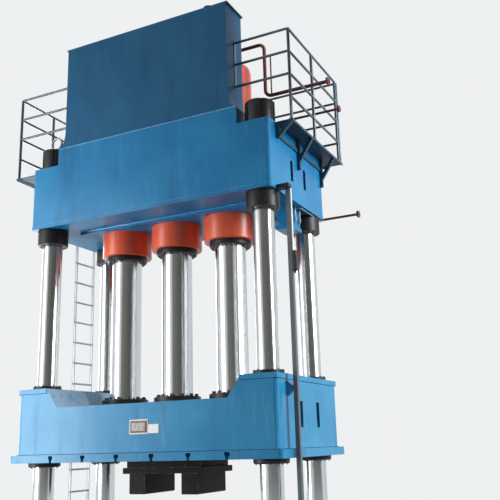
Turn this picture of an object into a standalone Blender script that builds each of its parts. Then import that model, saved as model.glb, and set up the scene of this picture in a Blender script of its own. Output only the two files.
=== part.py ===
"""Four-column hydraulic press: a welded bed and crown tied by four columns, a slide between them
driven by three cylinders, an oil tank on the crown and the service walkway round it.

Metres, +Z up. The origin is on the floor, in the middle of the column square. -Y is the front.
"""
import math

import bmesh
import bpy
from mathutils import Matrix, Vector

# Fits and cutters
SEAT_GAP = 0.0003
OVERRUN = 0.05

# Facets round a turned piece
SMALL_SIDES = 20
LARGE_SIDES = 28
INNER_SIDES = 12
BAR_SIDES = 8
CORNER_STEPS = 3

# Columns, on a rectangle
COLUMN_X = 1.593
COLUMN_Y = 0.635
COLUMN_RADIUS = 0.13
COLUMN_FOOT_CLEARANCE = 0.02
COLUMN_END_PROUD = 0.02

# Nuts and split collars on the columns
NUT_RADIUS = 0.185
CROWN_NUT_HEIGHT = 0.29
BASE_NUT_HEIGHT = 0.165
COLLAR_RADIUS = 0.202
COLLAR_HEIGHT = 0.21
NUT_CHAMFER = 0.012

# Levels between the beams
BED_HEIGHT = 0.53
BOLSTER_THICKNESS = 0.12
DAYLIGHT = 0.85
CLEAR_HEIGHT = 3.895

# Welded beams
WALL = 0.06
RIB = 0.05
SLEEVE_WALL = 0.05
CORNER_RADIUS = 0.045
BEAM_MARGIN_X = 0.207
BEAM_MARGIN_Y = 0.215
PASS_RADIUS = 0.12
WINDOW_WIDTH = 0.08
WINDOW_HEIGHT = 0.27

# Bed and bolster
NUT_POCKET_CLEARANCE = 0.006
NUT_POCKET_DEPTH = 0.19
BED_WINDOW_Y = 0.205
BOLSTER_EDGE_X = 0.24
BOLSTER_EDGE_Y = 0.06

# T-slots, shared by the slide and the bolster
SLOT_PITCH = 0.487
SLOTS_EACH_SIDE = 3
SLOT_STEM_WIDTH = 0.036
SLOT_STEM_DEPTH = 0.04
SLOT_HEAD_WIDTH = 0.062
SLOT_HEAD_DEPTH = 0.04

# Slide
SLIDE_MARGIN_X = 0.217
SLIDE_MARGIN_Y = 0.265
SLIDE_HEIGHT = 0.904
SLIDE_WELL_DEPTH = 0.243
SLIDE_WELL_MARGIN = 0.09
SLIDE_SHOULDER_RUN = 0.17
SLIDE_FLANGE_HEIGHT = 0.095
SLIDE_FLANGE_REACH = 0.064
SLIDE_FLOOR = 0.14
SLIDE_CAP_HEIGHT = 0.06
SLIDE_CAP_PROUD = 0.006
SLIDE_WINDOW_WIDTH = 0.09
SLIDE_WINDOW_HEIGHT = 0.29
SLIDE_WINDOW_Y = 0.255
SLIDE_WINDOW_RISE = 0.325
SLIDE_PASS_RADIUS = 0.1

# Guide bushes and wiper rings on the slide
BUSH_WALL = 0.03
BUSH_FLANGE_RADIUS = 0.18
BUSH_FLANGE_HEIGHT = 0.045
WIPER_RADIUS = 0.2
WIPER_HEIGHT = 0.055

# Crown
CROWN_END_HEIGHT = 0.864
CROWN_RISE = 0.229
CROWN_RISE_MARGIN = 0.17
CROWN_BASE_EDGE = 0.05
CROWN_BASE_PROUD = 0.004
DOUBLER_THICKNESS = 0.035
DOUBLER_HALF_X = 1.3
DOUBLER_HALF_Y = 0.42
CROWN_WINDOW_RISE = 0.245
CROWN_WINDOW_Y = 0.205

# Cylinders and rams
CYLINDER_PITCH = 0.81
CYLINDER_RADIUS = 0.335
CYLINDER_BELOW = 0.41
CYLINDER_ABOVE = 1.0
CYLINDER_LID = 0.12
CYLINDER_SHOULDER = 0.08
CYLINDER_FLANGE_REACH = 0.055
CYLINDER_FLANGE_HEIGHT = 0.08
CYLINDER_PORT_RADIUS = 0.09
CYLINDER_PORT_HEIGHT = 0.05
PISTON_RADIUS = 0.26
PISTON_HEIGHT = 0.18
RAM_RADIUS = 0.2
RAM_LENGTH = 2.719
RAM_FOOT_RADIUS = 0.235
RAM_FOOT_HEIGHT = 0.04
RAM_FLANGE_RADIUS = 0.3
RAM_FLANGE_HEIGHT = 0.1
GLAND_RADIUS = 0.32
GLAND_HEIGHT = 0.05
GLAND_SPIGOT_HEIGHT = 0.085

# Upper die
DIE_SHOE_HALF_X = 0.53
DIE_SHOE_HALF_Y = 0.34
DIE_SHOE_HEIGHT = 0.1
DIE_PLATE_HALF_X = 0.585
DIE_PLATE_HALF_Y = 0.35
DIE_PLATE_HEIGHT = 0.06
DIE_BLOCK_WIDTH = 0.23
DIE_BLOCK_X = 0.375
DIE_BLOCK_HEIGHT = 0.24
DIE_EDGE = 0.01

# Oil tank
TANK_DEPTH = 0.42
TANK_HEIGHT = 1.46
TANK_WALL = 0.008
TANK_FLARE = 0.11
TANK_FLARE_HEIGHT = 0.262
TANK_FLARE_STEPS = 5
LID_THICKNESS = 0.02
LID_LIP = 0.02
BREATHER_RADIUS = 0.06
BREATHER_HEIGHT = 0.12
BREATHER_CAP_REACH = 0.015
BREATHER_CAP_HEIGHT = 0.05
BREATHER_X = 0.9

# Walkway round the crown
DECK = 0.012
DECK_EDGE_HEIGHT = 0.03
DECK_EDGE = 0.01
LEFT_DECK_REACH = 0.44
LEFT_DECK_FRONT = 0.13
RIGHT_DECK_REACH = 0.23
RIGHT_DECK_FRONT = 0.2
REAR_DECK_REACH = 0.25

# Brackets of angle bar under the walkway
ANGLE = 0.04
BRACKET_DROP = 0.3
FRONT_BRACKET_DROP = 0.2
BRACKET_TOE = 0.1
WALL_ANGLE_DROP = 0.14

# Handrails
POST_RADIUS = 0.019
RAIL_RADIUS = 0.0165
RAIL_PITCH = 0.305
RAILS = 4
POST_INSET = 0.026
REAR_POST_SPACES = 4
LEFT_MIDDLE_POST_SHARE = 0.5
RIGHT_MIDDLE_POST_SHARE = 0.46
WALL_BAR = 0.008
WALL_BAR_WIDTH = 0.06

# Ladder
LADDER_WIDTH = 0.43
LADDER_STILE_WIDTH = 0.045
LADDER_STILE = 0.014
RUNG_RADIUS = 0.0135
RUNG_PITCH = 0.31
LADDER_FOOT_LENGTH = 0.1
LADDER_FOOT = 0.01

# Pipework
MAIN_PIPE_RADIUS = 0.024
SMALL_PIPE_RADIUS = 0.0165
CONDUIT_RADIUS = 0.01
PIPE_BEND = 0.09
PIPE_BEND_STEPS = 3
PIPE_REACH = 0.255
PIPE_FLANGE_REACH = 0.03
PIPE_FLANGE = 0.025
BRANCH_SHARE = 0.9
MANIFOLD_RISE = 0.26
MANIFOLD_DROP_X = 1.39
MANIFOLD_EXIT_RISE = 0.71
CONDUIT_START_X = 1.03
CONDUIT_RISE = 0.035
CONDUIT_DROP_X = 1.5
CONDUIT_Y = 0.05
RETURN_X = 1.5
RETURN_Y = 0.36
RETURN_RISE = 0.475
DRAIN_X = 0.9
DRAIN_RISE = 0.034
DRAIN_OFFSET = 0.05
DRAIN_BEND = 0.03

# Stroke rail with its switches, on the right
STROKE_RAIL_WIDTH = 0.05
STROKE_RAIL_DEPTH = 0.05
STROKE_RAIL_LIP = 0.012
STROKE_RAIL_CLEARANCE = 0.021
STROKE_RAIL_Y = 0.63
ARM_HEIGHT = 0.05
ARM_REACH = 0.05
FOOT_ARM_HEIGHT = 0.08
STRIKER_RISE = 0.66
STRIKER_HEIGHT = 0.16
STRIKER_WIDTH = 0.05
STRIKER_THICKNESS = 0.012
STRIKER_CLEARANCE = 0.01
JUNCTION_X = 1.59
JUNCTION_Y = 0.12
JUNCTION_HEIGHT = 0.29
JUNCTION_WIDTH = 0.2
JUNCTION_DEPTH = 0.28
JUNCTION_SOLE = 0.05
JUNCTION_SOLE_REACH = 0.012
SWITCH_HEIGHT = 0.26
SWITCH_WIDTH = 0.07
SWITCH_DEPTH = 0.055
SWITCH_DROP = 0.76

# Levels and sizes that follow
BOLSTER_TOP = BED_HEIGHT + BOLSTER_THICKNESS
SLIDE_BASE = BOLSTER_TOP + DAYLIGHT
SLIDE_TOP = SLIDE_BASE + SLIDE_HEIGHT
SLIDE_WELL_HALF = CYLINDER_PITCH + RAM_FLANGE_RADIUS + SLIDE_WELL_MARGIN
WELL_LEVEL = SLIDE_TOP - SLIDE_WELL_DEPTH
CROWN_BASE = BOLSTER_TOP + CLEAR_HEIGHT
CROWN_END_TOP = CROWN_BASE + CROWN_END_HEIGHT
CROWN_TOP = CROWN_END_TOP + CROWN_RISE
BEAM_HALF_X = COLUMN_X + BEAM_MARGIN_X
BEAM_HALF_Y = COLUMN_Y + BEAM_MARGIN_Y
RAISED_HALF = CYLINDER_PITCH + CYLINDER_RADIUS + CYLINDER_FLANGE_REACH + CROWN_RISE_MARGIN
SLIDE_HALF_X = COLUMN_X + SLIDE_MARGIN_X
SLIDE_HALF_Y = COLUMN_Y + SLIDE_MARGIN_Y
FLANGE_HALF_X = SLIDE_HALF_X + SLIDE_FLANGE_REACH
CYLINDER_BASE = CROWN_BASE - CYLINDER_BELOW
CYLINDER_TOP = CROWN_TOP + CYLINDER_ABOVE
TANK_TOP = CROWN_TOP + TANK_HEIGHT
RAIL_TOP = CROWN_END_TOP + RAILS * RAIL_PITCH
LEFT_EDGE = -BEAM_HALF_X - LEFT_DECK_REACH
RIGHT_EDGE = BEAM_HALF_X + RIGHT_DECK_REACH
REAR_EDGE = BEAM_HALF_Y + REAR_DECK_REACH
LADDER_FRONT = REAR_EDGE - LADDER_WIDTH
PIPE_END = RIGHT_EDGE + PIPE_REACH

SIDE_NAMES = {-1: "left", 1: "right"}
DEPTH_NAMES = {-1: "front", 1: "rear"}
CYLINDERS = {"left": -CYLINDER_PITCH, "middle": 0.0, "right": CYLINDER_PITCH}


# Scene and collections

def clear_scene():
    """Remove every object that the file opened with."""
    for item in list(bpy.data.objects):
        bpy.data.objects.remove(item, do_unlink=True)


def new_collection(name):
    """Return a new collection linked under the scene."""
    collection = bpy.data.collections.new(name)
    bpy.context.scene.collection.children.link(collection)
    return collection


clear_scene()
PARTS = new_collection("hydraulic_press")
CUTTERS = new_collection("cutters")


# Materials

def paint(name, color, roughness, metallic=0.0):
    """Return a Principled material with one colour."""
    material = bpy.data.materials.new(name)
    material.use_nodes = True
    shader = material.node_tree.nodes["Principled BSDF"]
    shader.inputs["Base Color"].default_value = (*color, 1.0)
    shader.inputs["Roughness"].default_value = roughness
    shader.inputs["Metallic"].default_value = metallic
    material.diffuse_color = (*color, 1.0)
    return material


CROWN_BLUE = paint("crown_blue", (0.016, 0.16, 0.38), 0.35)
SLIDE_BLUE = paint("slide_blue", (0.04, 0.27, 0.55), 0.35)
TANK_BLUE = paint("tank_slate_blue", (0.025, 0.085, 0.15), 0.4)
CYLINDER_ORANGE = paint("cylinder_orange", (0.68, 0.085, 0.025), 0.4)
BLACKED = paint("blacked_steel", (0.012, 0.011, 0.011), 0.4, 0.6)
CHROMED = paint("chromed_steel", (0.62, 0.62, 0.63), 0.12, 1.0)
RAIL_BLUE = paint("rail_blue", (0.03, 0.09, 0.13), 0.45)
PIPE_RED = paint("pipe_red", (0.16, 0.018, 0.02), 0.45)
MACHINED = paint("machined_steel", (0.42, 0.42, 0.42), 0.35, 1.0)
LADDER_GREY = paint("ladder_grey", (0.45, 0.48, 0.5), 0.4)
SWITCH_BLACK = paint("switch_black", (0.02, 0.02, 0.022), 0.5)


# Shapes

def link(name, mesh, matrix=None):
    """Put a mesh into the scene as an object, with its place in its mesh."""
    if matrix is not None:
        mesh.transform(matrix)
    item = bpy.data.objects.new(name, mesh)
    PARTS.objects.link(item)
    return item


def from_bmesh(name, form):
    """Turn a bmesh into an object."""
    mesh = bpy.data.meshes.new(name)
    form.to_mesh(mesh)
    form.free()
    return link(name, mesh)


def box(name, low, high):
    """A block between two corners."""
    low = Vector(low)
    high = Vector(high)
    size = high - low
    form = bmesh.new()
    bmesh.ops.create_cube(form, size=1.0)
    matrix = Matrix.Translation((low + high) / 2) @ Matrix.Diagonal((*size, 1.0))
    bmesh.ops.transform(form, matrix=matrix, verts=form.verts)
    return from_bmesh(name, form)


def rod(name, radius, start, end, sides=SMALL_SIDES):
    """A round bar between two points."""
    start = Vector(start)
    end = Vector(end)
    form = bmesh.new()
    bmesh.ops.create_cone(form, cap_ends=True, segments=sides, radius1=radius, radius2=radius,
                          depth=(end - start).length)
    turn = (end - start).to_track_quat("Z", "Y").to_matrix().to_4x4()
    matrix = Matrix.Translation((start + end) / 2) @ turn
    bmesh.ops.transform(form, matrix=matrix, verts=form.verts)
    return from_bmesh(name, form)


def baked(source, name):
    """Replace a curve by its mesh, with the caps welded on."""
    graph = bpy.context.evaluated_depsgraph_get()
    mesh = bpy.data.meshes.new_from_object(source.evaluated_get(graph))
    form = bmesh.new()
    form.from_mesh(mesh)
    bmesh.ops.remove_doubles(form, verts=form.verts, dist=SEAT_GAP / 10)
    form.to_mesh(mesh)
    form.free()
    item = link(name, mesh, source.matrix_world.copy())
    data = source.data
    bpy.data.objects.remove(source)
    bpy.data.curves.remove(data)
    return item


def pipe(name, points, radius, resolution=2):
    """A round bar along a run of points."""
    curve = bpy.data.curves.new(name + "_line", "CURVE")
    curve.dimensions = "3D"
    curve.bevel_depth = radius
    curve.bevel_resolution = resolution
    curve.use_fill_caps = True
    spline = curve.splines.new("POLY")
    spline.points.add(len(points) - 1)
    for target, point in zip(spline.points, points):
        target.co = (*point, 1.0)
    source = bpy.data.objects.new(name + "_line", curve)
    PARTS.objects.link(source)
    bpy.context.view_layer.update()
    return baked(source, name)


def sheet(name, outline, low, high, across="Z"):
    """A flat outline extruded from low to high, across X, Y or Z.

    Across Z the outline is in X and Y, across Y in X and Z, and across X in Y and Z.
    """
    curve = bpy.data.curves.new(name + "_outline", "CURVE")
    curve.dimensions = "2D"
    curve.fill_mode = "BOTH"
    curve.extrude = (high - low) / 2
    spline = curve.splines.new("POLY")
    spline.points.add(len(outline) - 1)
    for target, (first, second) in zip(spline.points, outline):
        target.co = (first, second, 0.0, 1.0)
    spline.use_cyclic_u = True
    source = bpy.data.objects.new(name + "_outline", curve)
    middle = (low + high) / 2
    if across == "Z":
        source.matrix_world = Matrix.Translation((0.0, 0.0, middle))
    elif across == "Y":
        source.matrix_world = Matrix.Translation((0.0, middle, 0.0)) @ Matrix.Rotation(math.pi / 2, 4, "X")
    else:
        cycle = Matrix(((0, 0, 1, 0), (1, 0, 0, 0), (0, 1, 0, 0), (0, 0, 0, 1)))
        source.matrix_world = Matrix.Translation((middle, 0.0, 0.0)) @ cycle
    PARTS.objects.link(source)
    bpy.context.view_layer.update()
    return baked(source, name)


def rounded_rectangle(half_x, half_y, radius):
    """The outline of a rectangle with round corners, about the origin."""
    points = []
    for quarter, (sign_x, sign_y) in enumerate(((1, 1), (-1, 1), (-1, -1), (1, -1))):
        for step in range(CORNER_STEPS + 1):
            angle = math.pi / 2 * (quarter + step / CORNER_STEPS)
            points.append((sign_x * (half_x - radius) + radius * math.cos(angle),
                           sign_y * (half_y - radius) + radius * math.sin(angle)))
    return points


def turned(name, profile, at=(0.0, 0.0), closed=False, sides=SMALL_SIDES):
    """A turned piece: radius and height pairs, run down the outer side and revolved about Z."""
    mesh = bpy.data.meshes.new(name)
    edges = [(index, index + 1) for index in range(len(profile) - 1)]
    if closed:
        edges.append((len(profile) - 1, 0))
    mesh.from_pydata([(radius, 0.0, height) for radius, height in profile], edges, [])
    item = bpy.data.objects.new(name, mesh)
    item.location = (at[0], at[1], 0.0)
    PARTS.objects.link(item)
    screw = item.modifiers.new("turn", "SCREW")
    screw.steps = sides
    screw.render_steps = sides
    screw.use_merge_vertices = True
    screw.merge_threshold = SEAT_GAP / 10
    return item


def ring(name, outer, inner, low, high, at, chamfer=0.0, sides=SMALL_SIDES):
    """A turned ring with a chamfer on its outer edges."""
    profile = [(inner, high), (outer - chamfer, high), (outer, high - chamfer),
               (outer, low + chamfer), (outer - chamfer, low), (inner, low)]
    if not chamfer:
        profile = [(inner, high), (outer, high), (outer, low), (inner, low)]
    return turned(name, profile, at, closed=True, sides=sides)


def combine(carrier, tools, operation):
    """Join tools to a carrier, cut them from it or keep only what they share."""
    for tool in tools:
        modifier = carrier.modifiers.new(tool.name, "BOOLEAN")
        modifier.operation = operation
        modifier.object = tool
        modifier.solver = "EXACT"
        tool.hide_render = True
        tool.display_type = "WIRE"
        PARTS.objects.unlink(tool)
        CUTTERS.objects.link(tool)
    return carrier


def finish(item, material, smooth=False):
    """Give a piece its material and, if it is round, smooth shading."""
    if not item.data.materials:
        item.data.materials.append(material)
    if smooth:
        item.data.shade_smooth()
        item.data.set_sharp_from_angle(angle=math.radians(30))
    return item


def each_column():
    """Yield the name and the place of each column."""
    for side_y in (-1, 1):
        for side_x in (-1, 1):
            name = DEPTH_NAMES[side_y] + "_" + SIDE_NAMES[side_x]
            yield name, (side_x * COLUMN_X, side_y * COLUMN_Y)


# Insides of the welded beams

def cavity(name, low, highs, half_x, half_y, sleeve, core, pass_radius):
    """The space between the plates of a beam: cells between ribs, less what stands in them.

    highs are the ceilings of the middle cells and of the end cells. sleeve is the outer radius
    of the tubes round the columns, core that round the cylinders, or zero where there are none.
    The end cells stop at the column axes, so each corner stays a solid block.
    """
    rib_x = COLUMN_X - COLUMN_RADIUS - BUSH_WALL - RIB - SLEEVE_WALL
    middle = CYLINDER_PITCH / 2
    inner_y = half_y - WALL
    middle_high, end_high = highs
    edges = [(-rib_x + RIB / 2, -middle - RIB / 2, inner_y, middle_high),
             (-middle + RIB / 2, middle - RIB / 2, inner_y, middle_high),
             (middle + RIB / 2, rib_x - RIB / 2, inner_y, middle_high),
             (-half_x + WALL, -rib_x - RIB / 2, COLUMN_Y, end_high),
             (rib_x + RIB / 2, half_x - WALL, COLUMN_Y, end_high)]
    cells = []
    for index, (left, right, reach, high) in enumerate(edges):
        cells.append(box(f"{name}_cell_{index}", (left, -reach, low), (right, reach, high)))
    pass_x = rib_x + RIB
    level = (low + min(highs)) / 2
    lane = (core + inner_y) / 2
    for side in (-1, 1):
        cells.append(rod(f"{name}_pass_{DEPTH_NAMES[side]}", pass_radius, (-pass_x, side * lane, level),
                         (pass_x, side * lane, level), INNER_SIDES))
    space = combine(cells[0], cells[1:], "UNION")
    top = max(highs) + OVERRUN
    posts = [rod(f"{name}_sleeve_{place}", sleeve, (*at, low - OVERRUN), (*at, top), INNER_SIDES)
             for place, at in each_column()]
    if core:
        posts += [rod(f"{name}_core_{place}", core, (x, 0.0, low - OVERRUN), (x, 0.0, top), SMALL_SIDES)
                  for place, x in CYLINDERS.items()]
    return combine(space, posts, "DIFFERENCE")


def windows(name, half_x, width, window_y, low, high):
    """Slots through both side walls of a beam, two on each side."""
    tools = []
    for side_x in (-1, 1):
        for side_y in (-1, 1):
            outer = side_x * (half_x + OVERRUN)
            inner = side_x * (half_x - WALL - OVERRUN)
            tools.append(box(f"{name}_window_{SIDE_NAMES[side_x]}_{DEPTH_NAMES[side_y]}",
                             (min(outer, inner), side_y * window_y - width / 2, low),
                             (max(outer, inner), side_y * window_y + width / 2, high)))
    return tools


def column_bores(name, radius, low, high):
    """Holes for the columns, or for what goes round them."""
    return [rod(f"{name}_bore_{place}", radius, (*at, low - OVERRUN), (*at, high + OVERRUN))
            for place, at in each_column()]


def slots(name, face, inward, half_y, count):
    """T-slots that run along Y under or over a face; inward is +1 where the metal is above it."""
    stem = SLOT_STEM_WIDTH / 2
    head = SLOT_HEAD_WIDTH / 2
    neck = SLOT_STEM_DEPTH
    roof = SLOT_STEM_DEPTH + SLOT_HEAD_DEPTH
    outline = [(stem, -OVERRUN), (stem, neck), (head, neck), (head, roof),
               (-head, roof), (-head, neck), (-stem, neck), (-stem, -OVERRUN)]
    tools = []
    for index in range(count):
        for side in (-1, 1):
            centre = side * SLOT_PITCH * (index + 0.5)
            points = [(centre + across, face + inward * depth) for across, depth in outline]
            tools.append(sheet(f"{name}_slot_{index}_{SIDE_NAMES[side]}", points,
                               -half_y - OVERRUN, half_y + OVERRUN, across="Y"))
    return tools


# Bed and bolster

def build_bed():
    """The lower beam, with pockets under it for the column nuts."""
    bed = sheet("bed", rounded_rectangle(BEAM_HALF_X, BEAM_HALF_Y, CORNER_RADIUS), 0.0, BED_HEIGHT)
    pocket = NUT_RADIUS + NUT_POCKET_CLEARANCE
    ceiling = BED_HEIGHT - WALL
    space = cavity("bed_space", WALL, (ceiling, ceiling), BEAM_HALF_X, BEAM_HALF_Y,
                   pocket + SLEEVE_WALL, 0.0, PASS_RADIUS)
    middle = BED_HEIGHT / 2
    tools = [space]
    tools += windows("bed", BEAM_HALF_X, WINDOW_WIDTH, BED_WINDOW_Y,
                     middle - WINDOW_HEIGHT / 2, middle + WINDOW_HEIGHT / 2)
    tools += column_bores("bed", COLUMN_RADIUS + SEAT_GAP, 0.0, BED_HEIGHT)
    tools += [rod("bed_pocket_" + place, pocket, (*at, -OVERRUN), (*at, NUT_POCKET_DEPTH))
              for place, at in each_column()]
    combine(bed, tools, "DIFFERENCE")
    finish(bed, CROWN_BLUE)


def build_bolster():
    """The bolster plate on the bed, with T-slots along Y."""
    half_x = COLUMN_X - BOLSTER_EDGE_X
    half_y = BEAM_HALF_Y - BOLSTER_EDGE_Y
    bolster = box("bolster", (-half_x, -half_y, BED_HEIGHT + SEAT_GAP), (half_x, half_y, BOLSTER_TOP))
    combine(bolster, slots("bolster", BOLSTER_TOP, -1, half_y, SLOTS_EACH_SIDE), "DIFFERENCE")
    finish(bolster, MACHINED)


# Columns, nuts and collars

def build_columns():
    """Four columns, each with a nut under the bed, a collar under the crown and a nut on top."""
    bore = COLUMN_RADIUS + SEAT_GAP
    collar_top = CROWN_BASE - SEAT_GAP
    nut_base = CROWN_END_TOP + SEAT_GAP
    column_top = nut_base + CROWN_NUT_HEIGHT + COLUMN_END_PROUD
    pocket_roof = NUT_POCKET_DEPTH - SEAT_GAP
    for place, at in each_column():
        column = turned("column_" + place, [
            (0.0, column_top), (COLUMN_RADIUS - COLUMN_END_PROUD, column_top),
            (COLUMN_RADIUS, column_top - COLUMN_END_PROUD), (COLUMN_RADIUS, COLUMN_FOOT_CLEARANCE),
            (0.0, COLUMN_FOOT_CLEARANCE)], at)
        finish(column, CHROMED, smooth=True)
        base_nut = ring("base_nut_" + place, NUT_RADIUS, bore, pocket_roof - BASE_NUT_HEIGHT,
                        pocket_roof, at)
        finish(base_nut, BLACKED, smooth=True)
        collar = ring("collar_" + place, COLLAR_RADIUS, bore, collar_top - COLLAR_HEIGHT,
                      collar_top, at, NUT_CHAMFER)
        finish(collar, BLACKED, smooth=True)
        nut = ring("crown_nut_" + place, NUT_RADIUS, bore, nut_base, nut_base + CROWN_NUT_HEIGHT,
                   at, NUT_CHAMFER)
        finish(nut, BLACKED, smooth=True)


# Crown

def build_crown():
    """The upper beam, raised over the cylinders, with a doubler plate under it."""
    stepped = [(-BEAM_HALF_X, CROWN_BASE), (BEAM_HALF_X, CROWN_BASE), (BEAM_HALF_X, CROWN_END_TOP),
               (RAISED_HALF, CROWN_END_TOP), (RAISED_HALF, CROWN_TOP), (-RAISED_HALF, CROWN_TOP),
               (-RAISED_HALF, CROWN_END_TOP), (-BEAM_HALF_X, CROWN_END_TOP)]
    crown = sheet("crown", stepped, -BEAM_HALF_Y, BEAM_HALF_Y, across="Y")
    plan = sheet("crown_plan", rounded_rectangle(BEAM_HALF_X, BEAM_HALF_Y, CORNER_RADIUS),
                 CROWN_BASE - OVERRUN, CROWN_TOP + OVERRUN)
    combine(crown, [plan], "INTERSECT")
    proud_x = BEAM_HALF_X + CROWN_BASE_PROUD
    proud_y = BEAM_HALF_Y + CROWN_BASE_PROUD
    base = sheet("crown_base_plate", rounded_rectangle(proud_x, proud_y, CORNER_RADIUS),
                 CROWN_BASE, CROWN_BASE + CROWN_BASE_EDGE)
    doubler = box("crown_doubler", (-DOUBLER_HALF_X, -DOUBLER_HALF_Y, CROWN_BASE - DOUBLER_THICKNESS),
                  (DOUBLER_HALF_X, DOUBLER_HALF_Y, CROWN_BASE + CROWN_BASE_EDGE / 2))
    combine(crown, [base, doubler], "UNION")
    space = cavity("crown_space", CROWN_BASE + WALL, (CROWN_TOP - WALL, CROWN_END_TOP - WALL),
                   BEAM_HALF_X, BEAM_HALF_Y, COLUMN_RADIUS + SLEEVE_WALL,
                   CYLINDER_RADIUS + SLEEVE_WALL, PASS_RADIUS)
    window_base = CROWN_BASE + CROWN_WINDOW_RISE
    tools = [space]
    tools += windows("crown", BEAM_HALF_X, WINDOW_WIDTH, CROWN_WINDOW_Y,
                     window_base, window_base + WINDOW_HEIGHT)
    tools += column_bores("crown", COLUMN_RADIUS + SEAT_GAP, CROWN_BASE, CROWN_END_TOP)
    tools += [rod("crown_seat_" + place, CYLINDER_RADIUS + SEAT_GAP, (x, 0.0, CYLINDER_BASE),
                  (x, 0.0, CROWN_TOP + OVERRUN), LARGE_SIDES) for place, x in CYLINDERS.items()]
    combine(crown, tools, "DIFFERENCE")
    finish(crown, CROWN_BLUE)


# Cylinders, glands and rams

def build_cylinders():
    """Three cylinders hung in the crown by their flanges, each closed below by a gland."""
    flange = CYLINDER_RADIUS + CYLINDER_FLANGE_REACH
    flange_base = CROWN_TOP + SEAT_GAP
    flange_top = flange_base + CYLINDER_FLANGE_HEIGHT
    port_top = CYLINDER_TOP + CYLINDER_PORT_HEIGHT
    bore = PISTON_RADIUS + SEAT_GAP
    bore_top = CYLINDER_TOP - CYLINDER_LID
    shoulder = CYLINDER_SHOULDER
    outer = [(0.0, port_top), (CYLINDER_PORT_RADIUS, port_top), (CYLINDER_PORT_RADIUS, CYLINDER_TOP)]
    for step in range(CORNER_STEPS + 1):
        angle = math.pi / 2 * (1 - step / CORNER_STEPS)
        outer.append((CYLINDER_RADIUS - shoulder + shoulder * math.cos(angle),
                      CYLINDER_TOP - shoulder + shoulder * math.sin(angle)))
    outer += [(CYLINDER_RADIUS, flange_top), (flange, flange_top), (flange, flange_base),
              (CYLINDER_RADIUS, flange_base), (CYLINDER_RADIUS, CYLINDER_BASE)]
    inner = [(bore, CYLINDER_BASE), (bore, bore_top), (0.0, bore_top)]
    gland_top = CYLINDER_BASE - SEAT_GAP
    rod_bore = RAM_RADIUS + SEAT_GAP
    spigot = PISTON_RADIUS - SEAT_GAP
    for place, x in CYLINDERS.items():
        cylinder = turned("cylinder_" + place, outer + inner, (x, 0.0), sides=LARGE_SIDES)
        finish(cylinder, CYLINDER_ORANGE, smooth=True)
        gland = turned("gland_" + place, [
            (rod_bore, CYLINDER_BASE + GLAND_SPIGOT_HEIGHT), (spigot, CYLINDER_BASE + GLAND_SPIGOT_HEIGHT),
            (spigot, gland_top), (GLAND_RADIUS, gland_top), (GLAND_RADIUS, gland_top - GLAND_HEIGHT),
            (rod_bore, gland_top - GLAND_HEIGHT)], (x, 0.0), closed=True, sides=LARGE_SIDES)
        finish(gland, BLACKED, smooth=True)


def build_rams():
    """The rams, each held to the slide at its foot by a split flange."""
    foot_base = WELL_LEVEL + SEAT_GAP
    foot_top = foot_base + RAM_FOOT_HEIGHT
    ram_top = foot_base + RAM_LENGTH
    neck = ram_top - PISTON_HEIGHT
    step = foot_top + SEAT_GAP
    flange_top = foot_base + RAM_FLANGE_HEIGHT
    for place, x in CYLINDERS.items():
        ram = turned("ram_" + place, [
            (0.0, ram_top), (PISTON_RADIUS, ram_top), (PISTON_RADIUS, neck), (RAM_RADIUS, neck),
            (RAM_RADIUS, foot_top), (RAM_FOOT_RADIUS, foot_top), (RAM_FOOT_RADIUS, foot_base),
            (0.0, foot_base)], (x, 0.0), sides=LARGE_SIDES)
        finish(ram, CHROMED, smooth=True)
        flange = turned("ram_flange_" + place, [
            (RAM_RADIUS + SEAT_GAP, flange_top), (RAM_FLANGE_RADIUS, flange_top),
            (RAM_FLANGE_RADIUS, foot_base), (RAM_FOOT_RADIUS + SEAT_GAP, foot_base),
            (RAM_FOOT_RADIUS + SEAT_GAP, step), (RAM_RADIUS + SEAT_GAP, step)],
            (x, 0.0), closed=True, sides=LARGE_SIDES)
        finish(flange, BLACKED, smooth=True)


# Slide

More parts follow.
